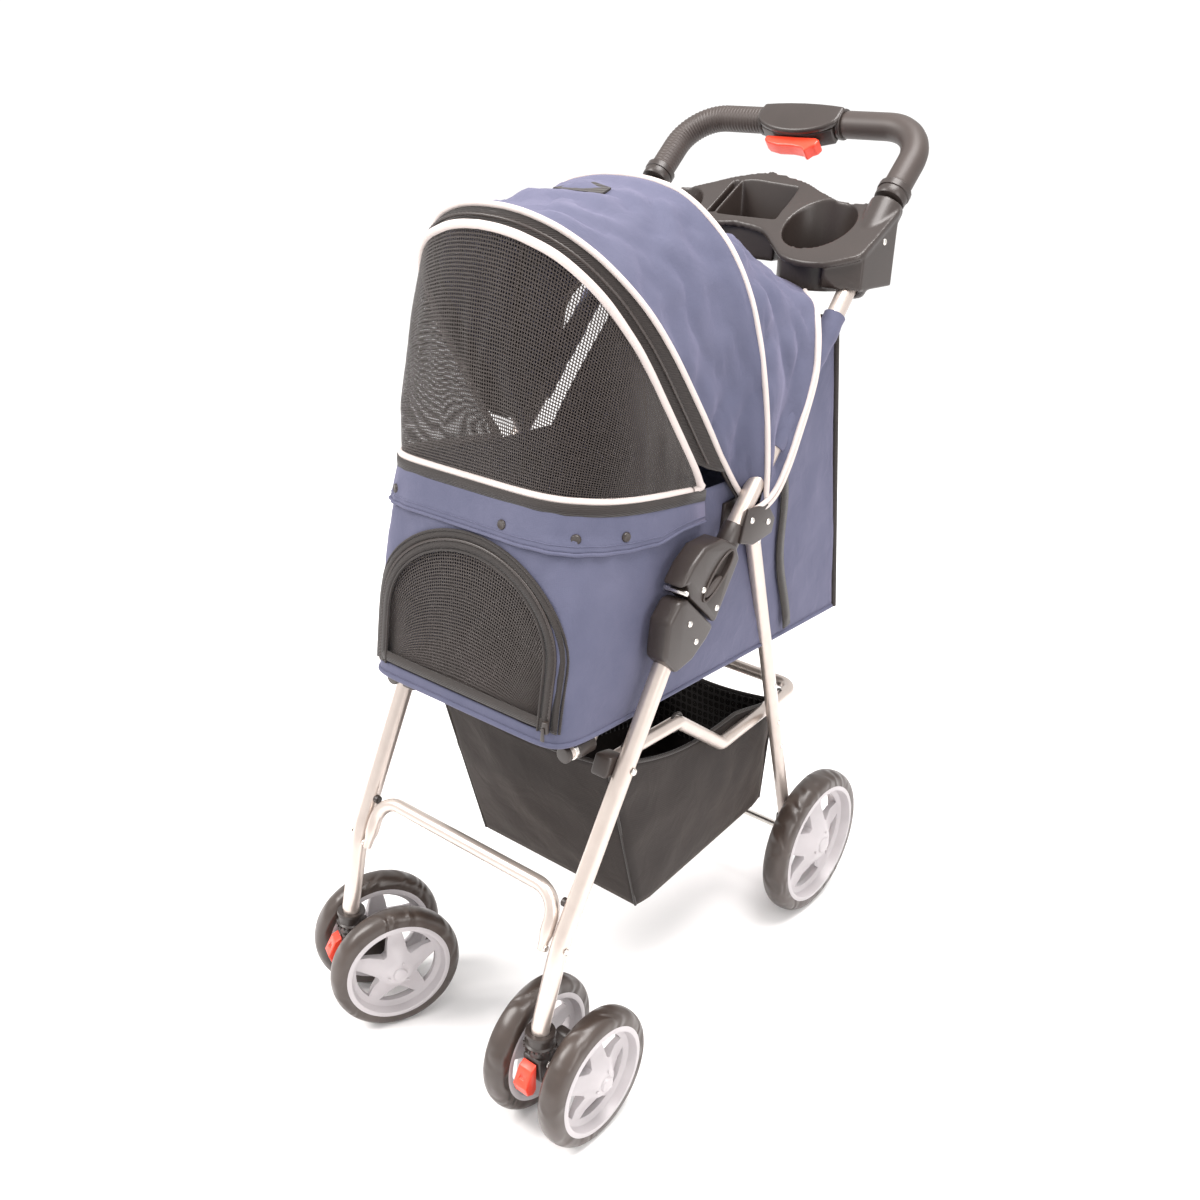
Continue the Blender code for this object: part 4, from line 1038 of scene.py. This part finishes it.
def archBlend(first, second, share, swell=0.0):
    # Between two arches, pushed away from the hinge line by swell in the middle.
    y, z = canopy["hinge"]
    out = []
    for a, b in zip(first, second):
        p = a.lerp(b, share)
        away = Vector((p.x * 0.6, p.y - y, p.z - z))
        out.append(p + away.normalized() * swell * 4 * share * (1 - share))
    return out


def shrunkArch(arch, inset):
    # An arch pulled in towards the hinge line's middle.
    y, z = canopy["hinge"]
    return [Vector((p.x - inset * min(1, max(-1, p.x / 0.05)), p.y, p.z - inset * min(1, max(0, (p.z - z) / 0.2))))
            for p in arch]


def makeCanopy():
    front, mid = bowArch(frontBow, canopy["frontTilt"]), bowArch(midBow, canopy["midTilt"])
    rear = wholeArch(rearEdge, canopy["columns"])
    rows = [archBlend(front, mid, k / 26, -0.0035) for k in range(27)]
    rows = ruffle(rows, canopy["creaseDepth"], 0.055, (1.0, 1.6, 0.8), 3.0)
    hoodRows = rows
    hood = cloth("canopyFront", rows, "slate", 0.0010)
    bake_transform(hood)
    cutCloth(hood)
    rows = [archBlend(mid, rear, k / 40, -0.004) for k in range(41)]
    rows = ruffle(rows, canopy["creaseDepth"] * 1.1, 0.060, (1.2, 1.5, 0.7), 9.0)
    back = cloth("canopyRear", rows, "slate", 0.0010)
    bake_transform(back)
    rearWeights(mid)
    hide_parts("canopy")
    cutCloth(back)
    for arch, body, name, node in ((front, "front_bow", "canopyFrontPiping", "canopy_front_bow"),
                                   (mid, "mid_bow", "canopyMidPiping", "canopy_mid_bow")):
        cord = bar(arch, canopy["piping"], 5)
        place(cord, name, "piping", body, node)
        weaveMap(cord)
        wire = bar(shrunkArch(arch, 0.006), 0.0024, 4)
        place(wire, name.replace("Piping", "Bow"), "dark", body)
    for lift, name in ((0.0, "canopyRearPiping"), (0.0062, "canopyRearPipingInner")):
        line = smoothLine(rearEdge[:-2], 6)
        line = [p + Vector((0.0006, 0, 0)) + (Vector((-0.002, 0.55, -0.6)).normalized() * lift) for p in line]
        pair = [bar(line, canopy["rearPiping"], 5), bar(mirrored(line), canopy["rearPiping"], 5)]
        cord = joinAll(pair)
        tidyMesh(cord)
        place(cord, name, "piping", "handle_frame")
        weaveMap(cord)
    spots = [hoodRows[r][c] for r, c in ((17, 45), (16, 48), (17, 52), (19, 52), (20, 48), (19, 45))]
    slit = slab([(p.x, p.y) for p in spots], 0.0, 1.0, "Z")
    for vert in slit.data.vertices:
        p = min(spots, key=lambda spot: (spot.x - vert.co.x) ** 2 + (spot.y - vert.co.y) ** 2)
        vert.co.z = p.z + (0.0022 if vert.co.z > 0.5 else 0.0002)
    tidyMesh(slit)
    place(slit, "canopyVent", "tape", "mid_bow")


def rearWeights(mid):
    # Sets nothing: it only reads the hinge place, so the rear of the hood is not made to follow the handle or the
    # middle bow.
    y, z = canopy["hinge"]


def weaveMap(obj):
    # A weave map for pieces that weren't woven flat: along the surface by box directions.
    uv = obj.data.uv_layers.get("weave") or obj.data.uv_layers.new(name="weave")
    for polygon in obj.data.polygons:
        n = polygon.normal
        flat = (1, 2) if abs(n.x) > max(abs(n.y), abs(n.z)) else (0, 2) if abs(n.y) > abs(n.z) else (0, 1)
        for index in polygon.loop_indices:
            p = obj.data.vertices[obj.data.loops[index].vertex_index].co
            uv.data[index].uv = (p[flat[0]], p[flat[1]])


makeCanopy()
print("canopy made")


# cabin tub

cabin = {"floor": 0.4285, "rim": 0.650, "half": 0.133, "split": -0.060, "frontLow": 0.200, "frontHigh": 0.1675,
         "rearLow": 0.234, "rearHigh": 0.166, "squareLow": 12.0, "squareHigh": 4.4, "squareLeft": 9.0, "belly": 0.004}
door = {"half": 0.116, "base": 0.4420, "straight": 0.500, "top": 0.5945}


def squareness(share, side):
    # How square the front corners are: the left one is pulled tighter than the right one.
    high = cabin["squareHigh"] if side > 0 else cabin["squareLeft"]
    return cabin["squareLow"] + (high - cabin["squareLow"]) * min(1.0, share * 1.15)


def frontPlace(turn, share):
    # Place on the front half of the tub: turn -90..90 degrees from its middle, share 0 at the floor and 1 at
    # the rim.
    power = squareness(share, turn)
    deep = cabin["frontLow"] + (cabin["frontHigh"] - cabin["frontLow"]) * share
    a = math.radians(turn)
    half = cabin["half"] + cabin["belly"] * 0.6 * math.sin(math.pi * share)
    x = half * math.copysign(abs(math.sin(a)) ** (2 / power), a)
    y = cabin["split"] - (deep + cabin["belly"] * math.sin(math.pi * share)) * math.cos(a) ** (2 / power)
    return Vector((x, y, cabin["floor"] + share * (rimHeight(y) - cabin["floor"])))


def rimHeight(y):
    # Height of the tub's top edge along its sides.
    if y < cabin["split"]:
        return 0.6370 + 0.0130 * min(1.0, (cabin["split"] - y) / 0.15)
    if y < 0.020:
        return 0.6370
    return 0.6370 + (0.775 - 0.6370) * min(1.0, (y - 0.020) / 0.120) ** 0.9


def sidePlace(along, share, side):
    # Place on a side behind the window: along 0 at the window's corner and 1 at the back.
    y = cabin["split"] + along * (cabin["rearLow"] + (cabin["rearHigh"] - cabin["rearLow"]) * share - cabin["split"])
    high = rimHeight(cabin["split"] + along * (cabin["rearHigh"] - cabin["split"]))
    x = cabin["half"] + cabin["belly"] * 0.6 * math.sin(math.pi * share) * (1 - along)
    return Vector((side * x, y, cabin["floor"] + share * (high - cabin["floor"])))


def backPlace(across, share):
    half = cabin["half"]
    y = cabin["rearLow"] + (cabin["rearHigh"] - cabin["rearLow"]) * share + 0.005 * math.cos(across * math.pi / 2)
    return Vector((-half * across, y, cabin["floor"] + share * (0.775 - cabin["floor"])))


def tubRing(share, lift=0.0):
    # Whole ring of the tub, from the right rear corner round the front and back along the rear panel.
    ring = [sidePlace(1 - k / 34, share, 1) for k in range(34)]
    ring += [frontPlace(90 - 180 * k / 90, share) for k in range(91)]
    ring += [sidePlace(k / 34, share, -1) for k in range(1, 35)]
    ring += [backPlace(1 - 2 * k / 30, share) for k in range(1, 30)]
    return [p + outward(p) * lift for p in ring]


def outward(p):
    away = Vector((p.x / cabin["half"], (p.y - 0.0) / 0.24, 0))
    x, y = (abs(away.x) ** 6) * math.copysign(1, away.x), (abs(away.y) ** 6) * math.copysign(1, away.y)
    found = Vector((x, y, 0))
    return found.normalized() if found.length > 1e-9 else Vector((0, -1, 0))


def frontY(x, z, lift=0.0):
    # Depth of the front panel's face at a place (x, z).
    share = (z - cabin["floor"]) / (cabin["rim"] - cabin["floor"])
    power = squareness(share, x)
    deep = cabin["frontLow"] + (cabin["frontHigh"] - cabin["frontLow"]) * share + cabin["belly"] * math.sin(math.pi * share)
    half = cabin["half"] + cabin["belly"] * 0.6 * math.sin(math.pi * share)
    return cabin["split"] - deep * (1 - min(1.0, abs(x) / half) ** power) ** (1 / power) - lift


def doorLine(inset, count=61):
    # The doorway's edge from its right foot over the arch to its left foot, as (x, z).
    half, top = door["half"] - inset, door["top"] - inset
    points = [Vector((half, door["base"], 0)), Vector((half, door["straight"] - 0.02, 0))]
    for k in range(0, 33):
        a = math.pi * k / 32
        points.append(Vector((half * math.cos(a), door["straight"] + (top - door["straight"]) * math.sin(a) ** 0.92, 0)))
    points += [Vector((-half, door["straight"] - 0.02, 0)), Vector((-half, door["base"], 0))]
    return [(p.x, p.y) for p in resample(points, count)]


def makeCabin():
    rows = [tubRing(k / 40) for k in range(41)]
    rows = ruffleRing(rows, 0.0026)
    tub = cloth("cabinTub", rows, "slate", 0.0012, closed=True)
    bottom = [Vector((p.x, p.y, cabin["floor"])) for p in tubRing(0.0)]
    hole = slab([(x, z) for x, z in doorLine(0.002)], -0.32, -0.17, "Y")
    carve(tub, hole)
    restoreWeave(tub)
    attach(tub, "carriage")
    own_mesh(tub)
    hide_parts("cabin_tub")
    cutCloth(tub)
    base = padBase(bottom)
    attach(base, "carriage")
    hem = bar([p + Vector((0, 0, 0.0005)) for p in bottom], 0.0028, 4, closed=True)
    place(hem, "cabinBottomPiping", "slate", "carriage")
    weaveMap(hem)
    flap()
    bindings()


def restoreWeave(obj):
    if not obj.data.uv_layers.get("weave"):
        weaveMap(obj)


def ruffleRing(rows, depth):
    # Soft folds on the tub that fade at its floor and rim.
    out = [list(row) for row in rows]
    last = len(rows) - 1
    for r in range(1, last):
        fade = min(1.0, r / last / 0.15, (last - r) / last / 0.15)
        for k, p in enumerate(rows[r]):
            fold = crease(p, 0.075, (1.3, 1.3, 0.55), 5.0) + 0.5 * crease(p, 0.032, (1, 1, 0.8), 2.0)
            out[r][k] = p + outward(p) * depth * fade * fold * 0.6
    return out


def padBase(bottom):
    # The tub's floor: black cloth over the board, as rings of faces drawn in towards its middle, which leave a small
    # hole there.
    middle = Vector((0, -0.01, cabin["floor"]))
    rows = [[middle.lerp(p, share) for p in bottom] for share in (0.05, 0.35, 0.7, 1.0)]
    base = cloth("cabinFloorCloth", rows, "black", 0.0008, closed=True)
    cutCloth(base)
    return base


def flap():
    # Snap flap that hangs over the tub's top edge round the front and sides.
    count = 131
    rows = []
    for r in range(13):
        drop = r / 12
        row = []
        for k in range(count):
            t = 1 - 2 * k / (count - 1)
            share = 0.992 - drop * 0.185 * (1 - 0.25 * max(0, abs(t) - 0.93) / 0.07)
            p = frontPlace(90 * t, share)
            wave = 0.0007 * math.sin(k * 0.55) * drop
            row.append(p + outward(p) * (0.0022 + 0.0022 * drop + wave))
        rows.append(row)
    obj = cloth("snapFlap", rows, "slate", 0.0011)
    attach(obj, "carriage")
    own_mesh(obj)
    cutCloth(obj)
    for row, name in ((rows[-1], "snapFlapHem"), (rows[-3], "snapFlapStitch")):
        line = [p + outward(p) * 0.0006 for p in row]
        radius = 0.0016 if name == "snapFlapHem" else 0.0006
        hem = bar(line, radius, 3)
        place(hem, name, "slate", "carriage")
        weaveMap(hem)
        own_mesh(hem)
    snaps = []
    for turn in (-64, -26, 3, 38, 66):
        p = frontPlace(turn, 0.865)
        away = (outward(p)).normalized()
        button = spun([(0.0, 0.0), (0.0, 0.0050), (0.0012, 0.0050), (0.0024, 0.0040), (0.0018, 0.0026), (0.0018, 0.0)], 24)
        button.data.transform(Matrix.Translation(p + away * 0.0036)
                              @ Vector((1, 0, 0)).rotation_difference(away).to_matrix().to_4x4())
        snaps.append(button)
    obj = joinAll(snaps)
    place(obj, "snapButtons", "dark", "carriage")
    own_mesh(obj)


def band(name, line, normals, width, look, body, thickness=0.0012, lift=0.0):
    # A flat strip of tape along a line; normals give the way its face looks.
    rows = [[], [], []]
    for k, p in enumerate(line):
        along = (line[min(k + 1, len(line) - 1)] - line[max(k - 1, 0)]).normalized()
        across = along.cross(normals[k]).normalized() * width / 2
        spot = p + normals[k] * lift
        for row, move in zip(rows, (-1, 0, 1)):
            row.append(spot + across * move + normals[k] * (0.0004 if move == 0 else 0))
    obj = cloth(name, rows, look, thickness)
    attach(obj, body)
    cutCloth(obj)
    return obj


def bindings():
    # Tapes, straps and piping sewn on the tub.
    for Word, word, side in sides:
        line = [sidePlace(1.0, k / 20, side) + Vector((side * 0.0012, 0.001, 0)) for k in range(21)]
        cord = bar(line, 0.0032, 5)
        place(cord, "rearCornerBinding" + Word, "tape", "carriage")
        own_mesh(cord)
        strap = [Vector((side * (0.1375 + 0.0012 * math.sin(k / 2)), 0.0700 + 0.0413 * k / 16 + 0.004 * math.sin(k * 0.5),
                         0.650 - 0.209 * k / 16)) for k in range(17)]
        obj = band("sideStrap" + Word, strap, [Vector((side, 0, 0))] * 17, 0.0135, "strap", "carriage", 0.0016, 0.0022)
        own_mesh(obj)
    top = [backPlace(1 - 2 * k / 20, 1.0) + Vector((0, 0.001, 0.001)) for k in range(21)]
    cord = bar(top, 0.0030, 5)
    place(cord, "rearTopBinding", "tape", "carriage")
    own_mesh(cord)
    for Word, word, side in sides:
        line = [handlePoint(0.668 + (0.787 - 0.668) * k / 20) for k in range(21)]
        radii = [1.0 + 0.05 * math.sin(k * 1.9) + 0.04 * math.sin(k * 0.8) for k in range(21)]
        cuff = bar(onSide(line, side), 0.0116, 7, radii=radii)
        place(cuff, "tubeCuff" + Word, "slate", "handle_frame")
        weaveMap(cuff)


makeCabin()
print("cabin made")


# door and window

window = {"tilt": math.radians(34.5), "fold": 0.0016, "border": 0.0040}
windowArch = [(0.1340, 0.004), (0.1360, 0.017), (0.1370, 0.036), (0.1358, 0.064), (0.1340, 0.096), (0.1320, 0.133),
              (0.1300, 0.165), (0.125, 0.196), (0.110, 0.241), (0.082, 0.276), (0.050, 0.293), (0.024, 0.300), (0.0, 0.302)]


def windowPoint(x, height):
    return Vector((x, cabin["split"] - height * math.sin(window["tilt"]), 0.632 + height * math.cos(window["tilt"])))


def makeWindow():
    count = 121
    arch = wholeArch([windowPoint(x, h) for x, h in windowArch], count)
    rim = [frontPlace(90 - 180 * k / (count - 1), 1.0) + Vector((0, 0, 0.0025)) for k in range(count)]
    rim = resample(rim, count)
    rows = []
    for r in range(31):
        share = r / 30
        row = []
        for k, (a, b) in enumerate(zip(rim, arch)):
            p = a.lerp(b, share)
            inward = Vector((p.x, p.y + 0.02, 0)).normalized()
            push = 0.010 * math.sin(math.pi * share) * (1 - abs(k / (count - 1) * 2 - 1) ** 2)
            fold = window["fold"] * crease(p, 0.040, (1.6, 1.6, 0.35), 7.0) * math.sin(math.pi * share)
            row.append(p + inward * (push + fold))
        rows.append(row)
    sheet = cloth("windowMesh", rows, "mesh", 0.0005)
    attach(sheet, "window")
    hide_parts("mesh_window")
    cutCloth(sheet)
    border = bar(smoothClosed(rim, arch), window["border"], 6, closed=True)
    place(border, "windowBorder", "piping", "window")
    weaveMap(border)
    front = bowArch(frontBow, canopy["frontTilt"], count)
    rows = []
    for share in (0.0, 0.25, 0.5, 0.75, 1.0):
        sink = 0.004 * math.sin(math.pi * share)
        row = []
        for a, b in list(zip(arch, front))[8:-8]:
            p = a.lerp(b, share)
            row.append(p + Vector((-p.x, 0.02, -0.3)).normalized() * (sink + 0.0012))
        rows.append(row)
    tape = cloth("windowZipTape", rows, "tape", 0.0009)
    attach(tape, "window")
    cutCloth(tape)
    teeth = [a.lerp(b, 0.45) + Vector((a.x * 0.01, -0.001, 0.0005)) for a, b in list(zip(arch, front))[8:-8]]
    coil = bar(resample(teeth, 260), 0.0016, 3, radii=[1.0 if k % 2 else 0.7 for k in range(260)])
    place(coil, "windowZipCoil", "dark", "window")
    low = [frontPlace(90 - 180 * k / 100, 0.985) for k in range(101)]
    under = band("rimZipTape", [p + Vector((0, 0, -0.0010)) for p in low], [outward(p) for p in low], 0.011, "tape",
                 "carriage", 0.0014, 0.0036)
    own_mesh(under)


def smoothClosed(rim, arch):
    # The window's border: along the rim, then back over the arch, with soft near corners.
    front = rim[3:-3]
    back = list(reversed(arch))[2:-2]
    cornerA = smoothLine([front[-3], front[-1], (front[-1] + back[0]) / 2 + Vector((-0.002, 0.004, 0)), back[0], back[2]], 4)
    cornerB = smoothLine([back[-3], back[-1], (front[0] + back[-1]) / 2 + Vector((0.002, 0.004, 0)), front[0], front[2]], 4)
    return front[1:-3] + cornerA[:-1] + back[3:-3] + cornerB[:-1]


def makeDoor():
    edge = doorLine(0.004, 61)
    rows = []
    for k in range(23):
        share = k / 22
        row = []
        for j, (x, z) in enumerate(edge):
            bottomX = door["half"] * 0.985 * (1 - 2 * j / 60)
            px, pz = bottomX + (x - bottomX) * share, door["base"] + 0.004 + (z - door["base"] - 0.004) * share
            if j in (0, 60):
                px = x
            sag = 0.004 * math.sin(math.pi * share) + 0.0012 * crease((px, 0, pz), 0.05, (1, 1, 1), 1.0) * math.sin(math.pi * share)
            row.append(Vector((px, frontY(px, max(pz, door["base"]), 0.0014) + sag, max(pz, door["base"] + 0.0005 * k))))
        rows.append(row)
    sheet = cloth("doorMesh", rows, "mesh", 0.0005)
    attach(sheet, "door")
    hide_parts("front_door")
    cutCloth(sheet)
    face = [Vector((0, -1, 0.12)).normalized()] * 121
    for inset, width, name, look, body, lift in ((0.0060, 0.0100, "doorZipTapeInner", "tape", "door", 0.0016),
                                                 (-0.0035, 0.0085, "doorZipTapeOuter", "tape", "carriage", 0.0016)):
        line = [Vector((x, frontY(x, z, 0.0008), z)) for x, z in doorLine(inset, 121)]
        obj = band(name, line, face, width, look, body, 0.0010, lift)
        if body == "carriage":
            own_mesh(obj)
    for inset, name, radius in ((0.0010, "doorZipCoil", 0.0017), (0.0112, "doorPiping", 0.0012), (-0.0082, "doorEdgePiping", 0.0013)):
        line = [Vector((x, frontY(x, z, 0.0032), z)) for x, z in doorLine(inset, 261)]
        radii = [1.0 if k % 2 else 0.72 for k in range(261)] if name == "doorZipCoil" else None
        obj = bar(line, radius, 3, radii=radii)
        place(obj, name, "dark" if name == "doorZipCoil" else "tape", "door" if name == "doorPiping" else "carriage")
        if name != "doorPiping":
            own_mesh(obj)
    hem = [Vector((door["half"] * 0.97 * (1 - 2 * k / 40), frontY(door["half"] * 0.97 * (1 - 2 * k / 40), 0.450, 0.0012), 0.450))
           for k in range(41)]
    band("doorHem", hem, [Vector((0, -1, 0.12)).normalized()] * 41, 0.0102, "tape", "door", 0.0012, 0.0014)
    x, z = doorLine(0.001)[0]
    slider = slab([(x - 0.0034, z + 0.001), (x + 0.0034, z + 0.001), (x + 0.0026, z + 0.0130), (x - 0.0026, z + 0.0130)],
                  frontY(x, z) - 0.0085, frontY(x, z) - 0.0035, "Y")
    roundEdges(slider, 0.0010)
    pull = slab([(x - 0.0022, z - 0.0060), (x + 0.0022, z - 0.0060), (x + 0.0016, z + 0.0075), (x - 0.0016, z + 0.0075)],
                frontY(x, z) - 0.0105, frontY(x, z) - 0.0088, "Y")
    roundEdges(pull, 0.0006)
    obj = joinAll([slider, pull])
    place(obj, "doorSlider", "dark", "carriage")


makeWindow()
makeDoor()
print("window and door made")


# cushion, board and basket

pad = {"voxel": 0.005, "pressure": 4.0, "cap": 0.006, "frames": 20}
basket = {"low": 0.168, "frontLow": -0.105, "rearLow": 0.178, "halfFrontLow": 0.118, "halfRearLow": 0.094}


def makeCushion():
    low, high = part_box("cabin_cushion")
    bpy.ops.mesh.primitive_cube_add(size=1)
    obj = bpy.context.object
    size = high - low
    inset = 0.003
    obj.data.transform(Matrix.Translation((low + high) / 2) @ Matrix.Diagonal((size.x - 2 * inset, size.y - 2 * inset,
                                                                               size.z - 2 * inset, 1)))
    roundEdges(obj, 0.006, 4)
    mesher = obj.modifiers.new("voxels", "REMESH")
    mesher.mode = "VOXEL"
    mesher.voxel_size = pad["voxel"]
    applyAll(obj)
    start = [v.co.copy() for v in obj.data.vertices]
    puff = obj.modifiers.new("puff", "CLOTH")
    puff.settings.use_pressure = True
    puff.settings.uniform_pressure_force = pad["pressure"]
    puff.settings.effector_weights.gravity = 0.0
    pick(obj)
    for step in range(1, pad["frames"] + 1):
        bpy.context.scene.frame_set(step)
    bpy.ops.object.modifier_apply(modifier=puff.name)
    bpy.context.scene.frame_set(1)
    for vert, rest in zip(obj.data.vertices, start):
        move = vert.co - rest
        if move.length > pad["cap"]:
            vert.co = rest + move.normalized() * pad["cap"]
        vert.co.z = max(vert.co.z, low.z + 0.0002)
    softer = obj.modifiers.new("softer", "SUBSURF")
    softer.levels = softer.render_levels = 1
    applyAll(obj)
    place(obj, "cabinCushion", "padding", "carriage", "cabin_cushion", smooth=60)
    weaveMap(obj)
    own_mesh(obj)
    board = nodes["floor_board"]
    board.data.materials.clear()
    board.data.materials.append(looks["dark"])


def basketRing(share, inset=0.0):
    # Ring of the basket at a share of its height; the top edge follows the frame tubes.
    ring = []
    nearY = basket["frontLow"] + share * -0.066
    rearY = basket["rearLow"] + share * 0.006
    frontHalf = basket["halfFrontLow"] + share * 0.004
    rearHalf = basket["halfRearLow"] + share * 0.004
    corners = [(frontHalf, nearY), (rearHalf, rearY), (-rearHalf, rearY), (-frontHalf, nearY)]
    path = []
    for k, (a, b) in enumerate(zip(corners, corners[1:] + corners[:1])):
        for step in range(24):
            t = step / 24
            path.append((a[0] + (b[0] - a[0]) * t, a[1] + (b[1] - a[1]) * t, k, t))
    for x, y, k, t in path:
        if k == 0:
            high = topHeight(t)
        elif k == 1:
            high = 0.306 - 0.010 * math.sin(math.pi * t)
        elif k == 2:
            high = topHeight(1 - t)
        else:
            high = 0.3735 - 0.012 * math.sin(math.pi * t)
        belly = 0.007 * math.sin(math.pi * min(1, share * 1.1)) * math.sin(math.pi * t)
        nx, ny = {0: (1, 0), 1: (0, 1), 2: (-1, 0), 3: (0, -1)}[k]
        corner = min(1.0, min(t, 1 - t) / 0.07)
        pull = 0.004 * (1 - corner)
        z = basket["low"] + share * (high - basket["low"])
        grow = belly - inset
        ring.append(Vector((x * (1 - pull / 0.12) + nx * grow, y + ny * grow, z)))
    return ring


def topHeight(t):
    # Top edge along a side, from the front corner to the rear one.
    return 0.3735 - 0.020 * math.sin(math.pi * min(1.0, t * 1.4)) - 0.0675 * t ** 1.3


def makeBasket():
    rows = [basketRing(k / 24) for k in range(25)]
    out = []
    for r, row in enumerate(rows):
        fade = min(1.0, r / 4, (24 - r) / 4)
        out.append([p + outward(p) * 0.0028 * fade * crease(p, 0.060, (1, 1, 0.9), 4.0) for p in row])
    low = [Vector((p.x, p.y, basket["low"])) for p in basketRing(0.0)]
    middle = Vector((0, 0.035, basket["low"] - 0.002))
    floor = [[middle.lerp(p, share) for p in low] for share in (0.04, 0.3, 0.6, 0.9)]
    body = cloth("storageBasket", floor + out, "black", 0.0012, closed=True)
    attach(body, "carriage")
    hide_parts("storage_basket")
    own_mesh(body)
    cutCloth(body)
    lining = [basketRing(0.30 + 0.69 * k / 12, 0.004) for k in range(13)]
    knit = cloth("basketLining", lining, "knit", 0.0006, closed=True)
    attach(knit, "carriage")
    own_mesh(knit)
    cutCloth(knit)
    hem = bar(basketRing(1.0), 0.0022, 4, closed=True)
    place(hem, "basketHem", "tape", "carriage")
    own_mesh(hem)
    edges = []
    for k in (0, 24, 48, 72):
        edges.append(bar([basketRing(s / 12)[k] for s in range(13)], 0.0016, 3))
    seam = joinAll(edges)
    place(seam, "basketSeams", "tape", "carriage")
    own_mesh(seam)
    loops = []
    for _, _, side in sides:
        for y, z in ((-0.160, 0.380), (-0.075, 0.379), (0.180, 0.304)):
            spot = {-0.160: 0.1320, -0.075: 0.1305, 0.180: 0.1010}[y]
            line = [Vector((side * spot, y + 0.010 * math.cos(a), z + 0.0095 + 0.010 * math.sin(a)))
                    for a in [2 * math.pi * k / 24 for k in range(24)]]
            loops.append(bar(line, 0.0016, 3, closed=True))
    obj = joinAll(loops)
    place(obj, "basketLoops", "tape", "carriage")


makeCushion()
makeBasket()
print("soft pieces made")


# floor, light and camera

stage = {"floorSize": 60.0, "world": 1.10}
view = {"place": (0.7755, -1.0082, 0.9892), "right": (0.76852, 0.63879, 0.03645), "up": (-0.27008, 0.27224, 0.92355),
        "forward": (-0.58003, 0.71961, -0.38175), "lens": 36.89}


def makeStage():
    bpy.ops.mesh.primitive_grid_add(x_subdivisions=8, y_subdivisions=8, size=stage["floorSize"])
    floor = bpy.context.object
    floor.name = "paperFloor"
    floor.data.materials.append(floorPaper())
    world = bpy.data.worlds.new("studio")
    world.use_nodes = True
    world.node_tree.nodes["Background"].inputs[0].default_value = (1.0, 0.995, 0.99, 1)
    world.node_tree.nodes["Background"].inputs[1].default_value = stage["world"]
    bpy.context.scene.world = world


def softbox(name, spot, target, size, power, colour=(1, 1, 1)):
    light = bpy.data.lights.new(name, "AREA")
    light.shape = "RECTANGLE"
    light.size, light.size_y = size
    light.energy = power
    light.color = colour
    obj = bpy.data.objects.new(name, light)
    obj.location = spot
    obj.rotation_euler = (Vector(target) - Vector(spot)).to_track_quat("-Z", "Y").to_euler()
    bpy.context.scene.collection.objects.link(obj)


def makeLights():
    softbox("keyBox", (-1.5, -1.7, 2.3), (0, 0, 0.5), (1.2, 1.2), 75, (1, 0.965, 0.94))
    softbox("sideBox", (2.3, -0.7, 1.5), (0, 0, 0.5), (0.9, 1.6), 26, (1, 0.96, 0.94))
    softbox("topBox", (0.5, -0.1, 2.7), (0, 0, 0.5), (1.3, 1.3), 70, (1, 0.965, 0.95))


def makeCamera():
    camera = bpy.data.cameras.new("camera")
    camera.lens = view["lens"]
    camera.sensor_width = 36
    camera.clip_start, camera.clip_end = 0.01, 100
    obj = bpy.data.objects.new("camera", camera)
    right, up, back = Vector(view["right"]), Vector(view["up"]), -Vector(view["forward"])
    turn = Matrix((right, up, back)).transposed().to_4x4()
    obj.matrix_world = Matrix.Translation(view["place"]) @ turn
    bpy.context.scene.collection.objects.link(obj)
    bpy.context.scene.camera = obj


makeStage()
makeLights()
makeCamera()
bpy.context.scene.view_settings.view_transform = "Standard"
print("stage made")
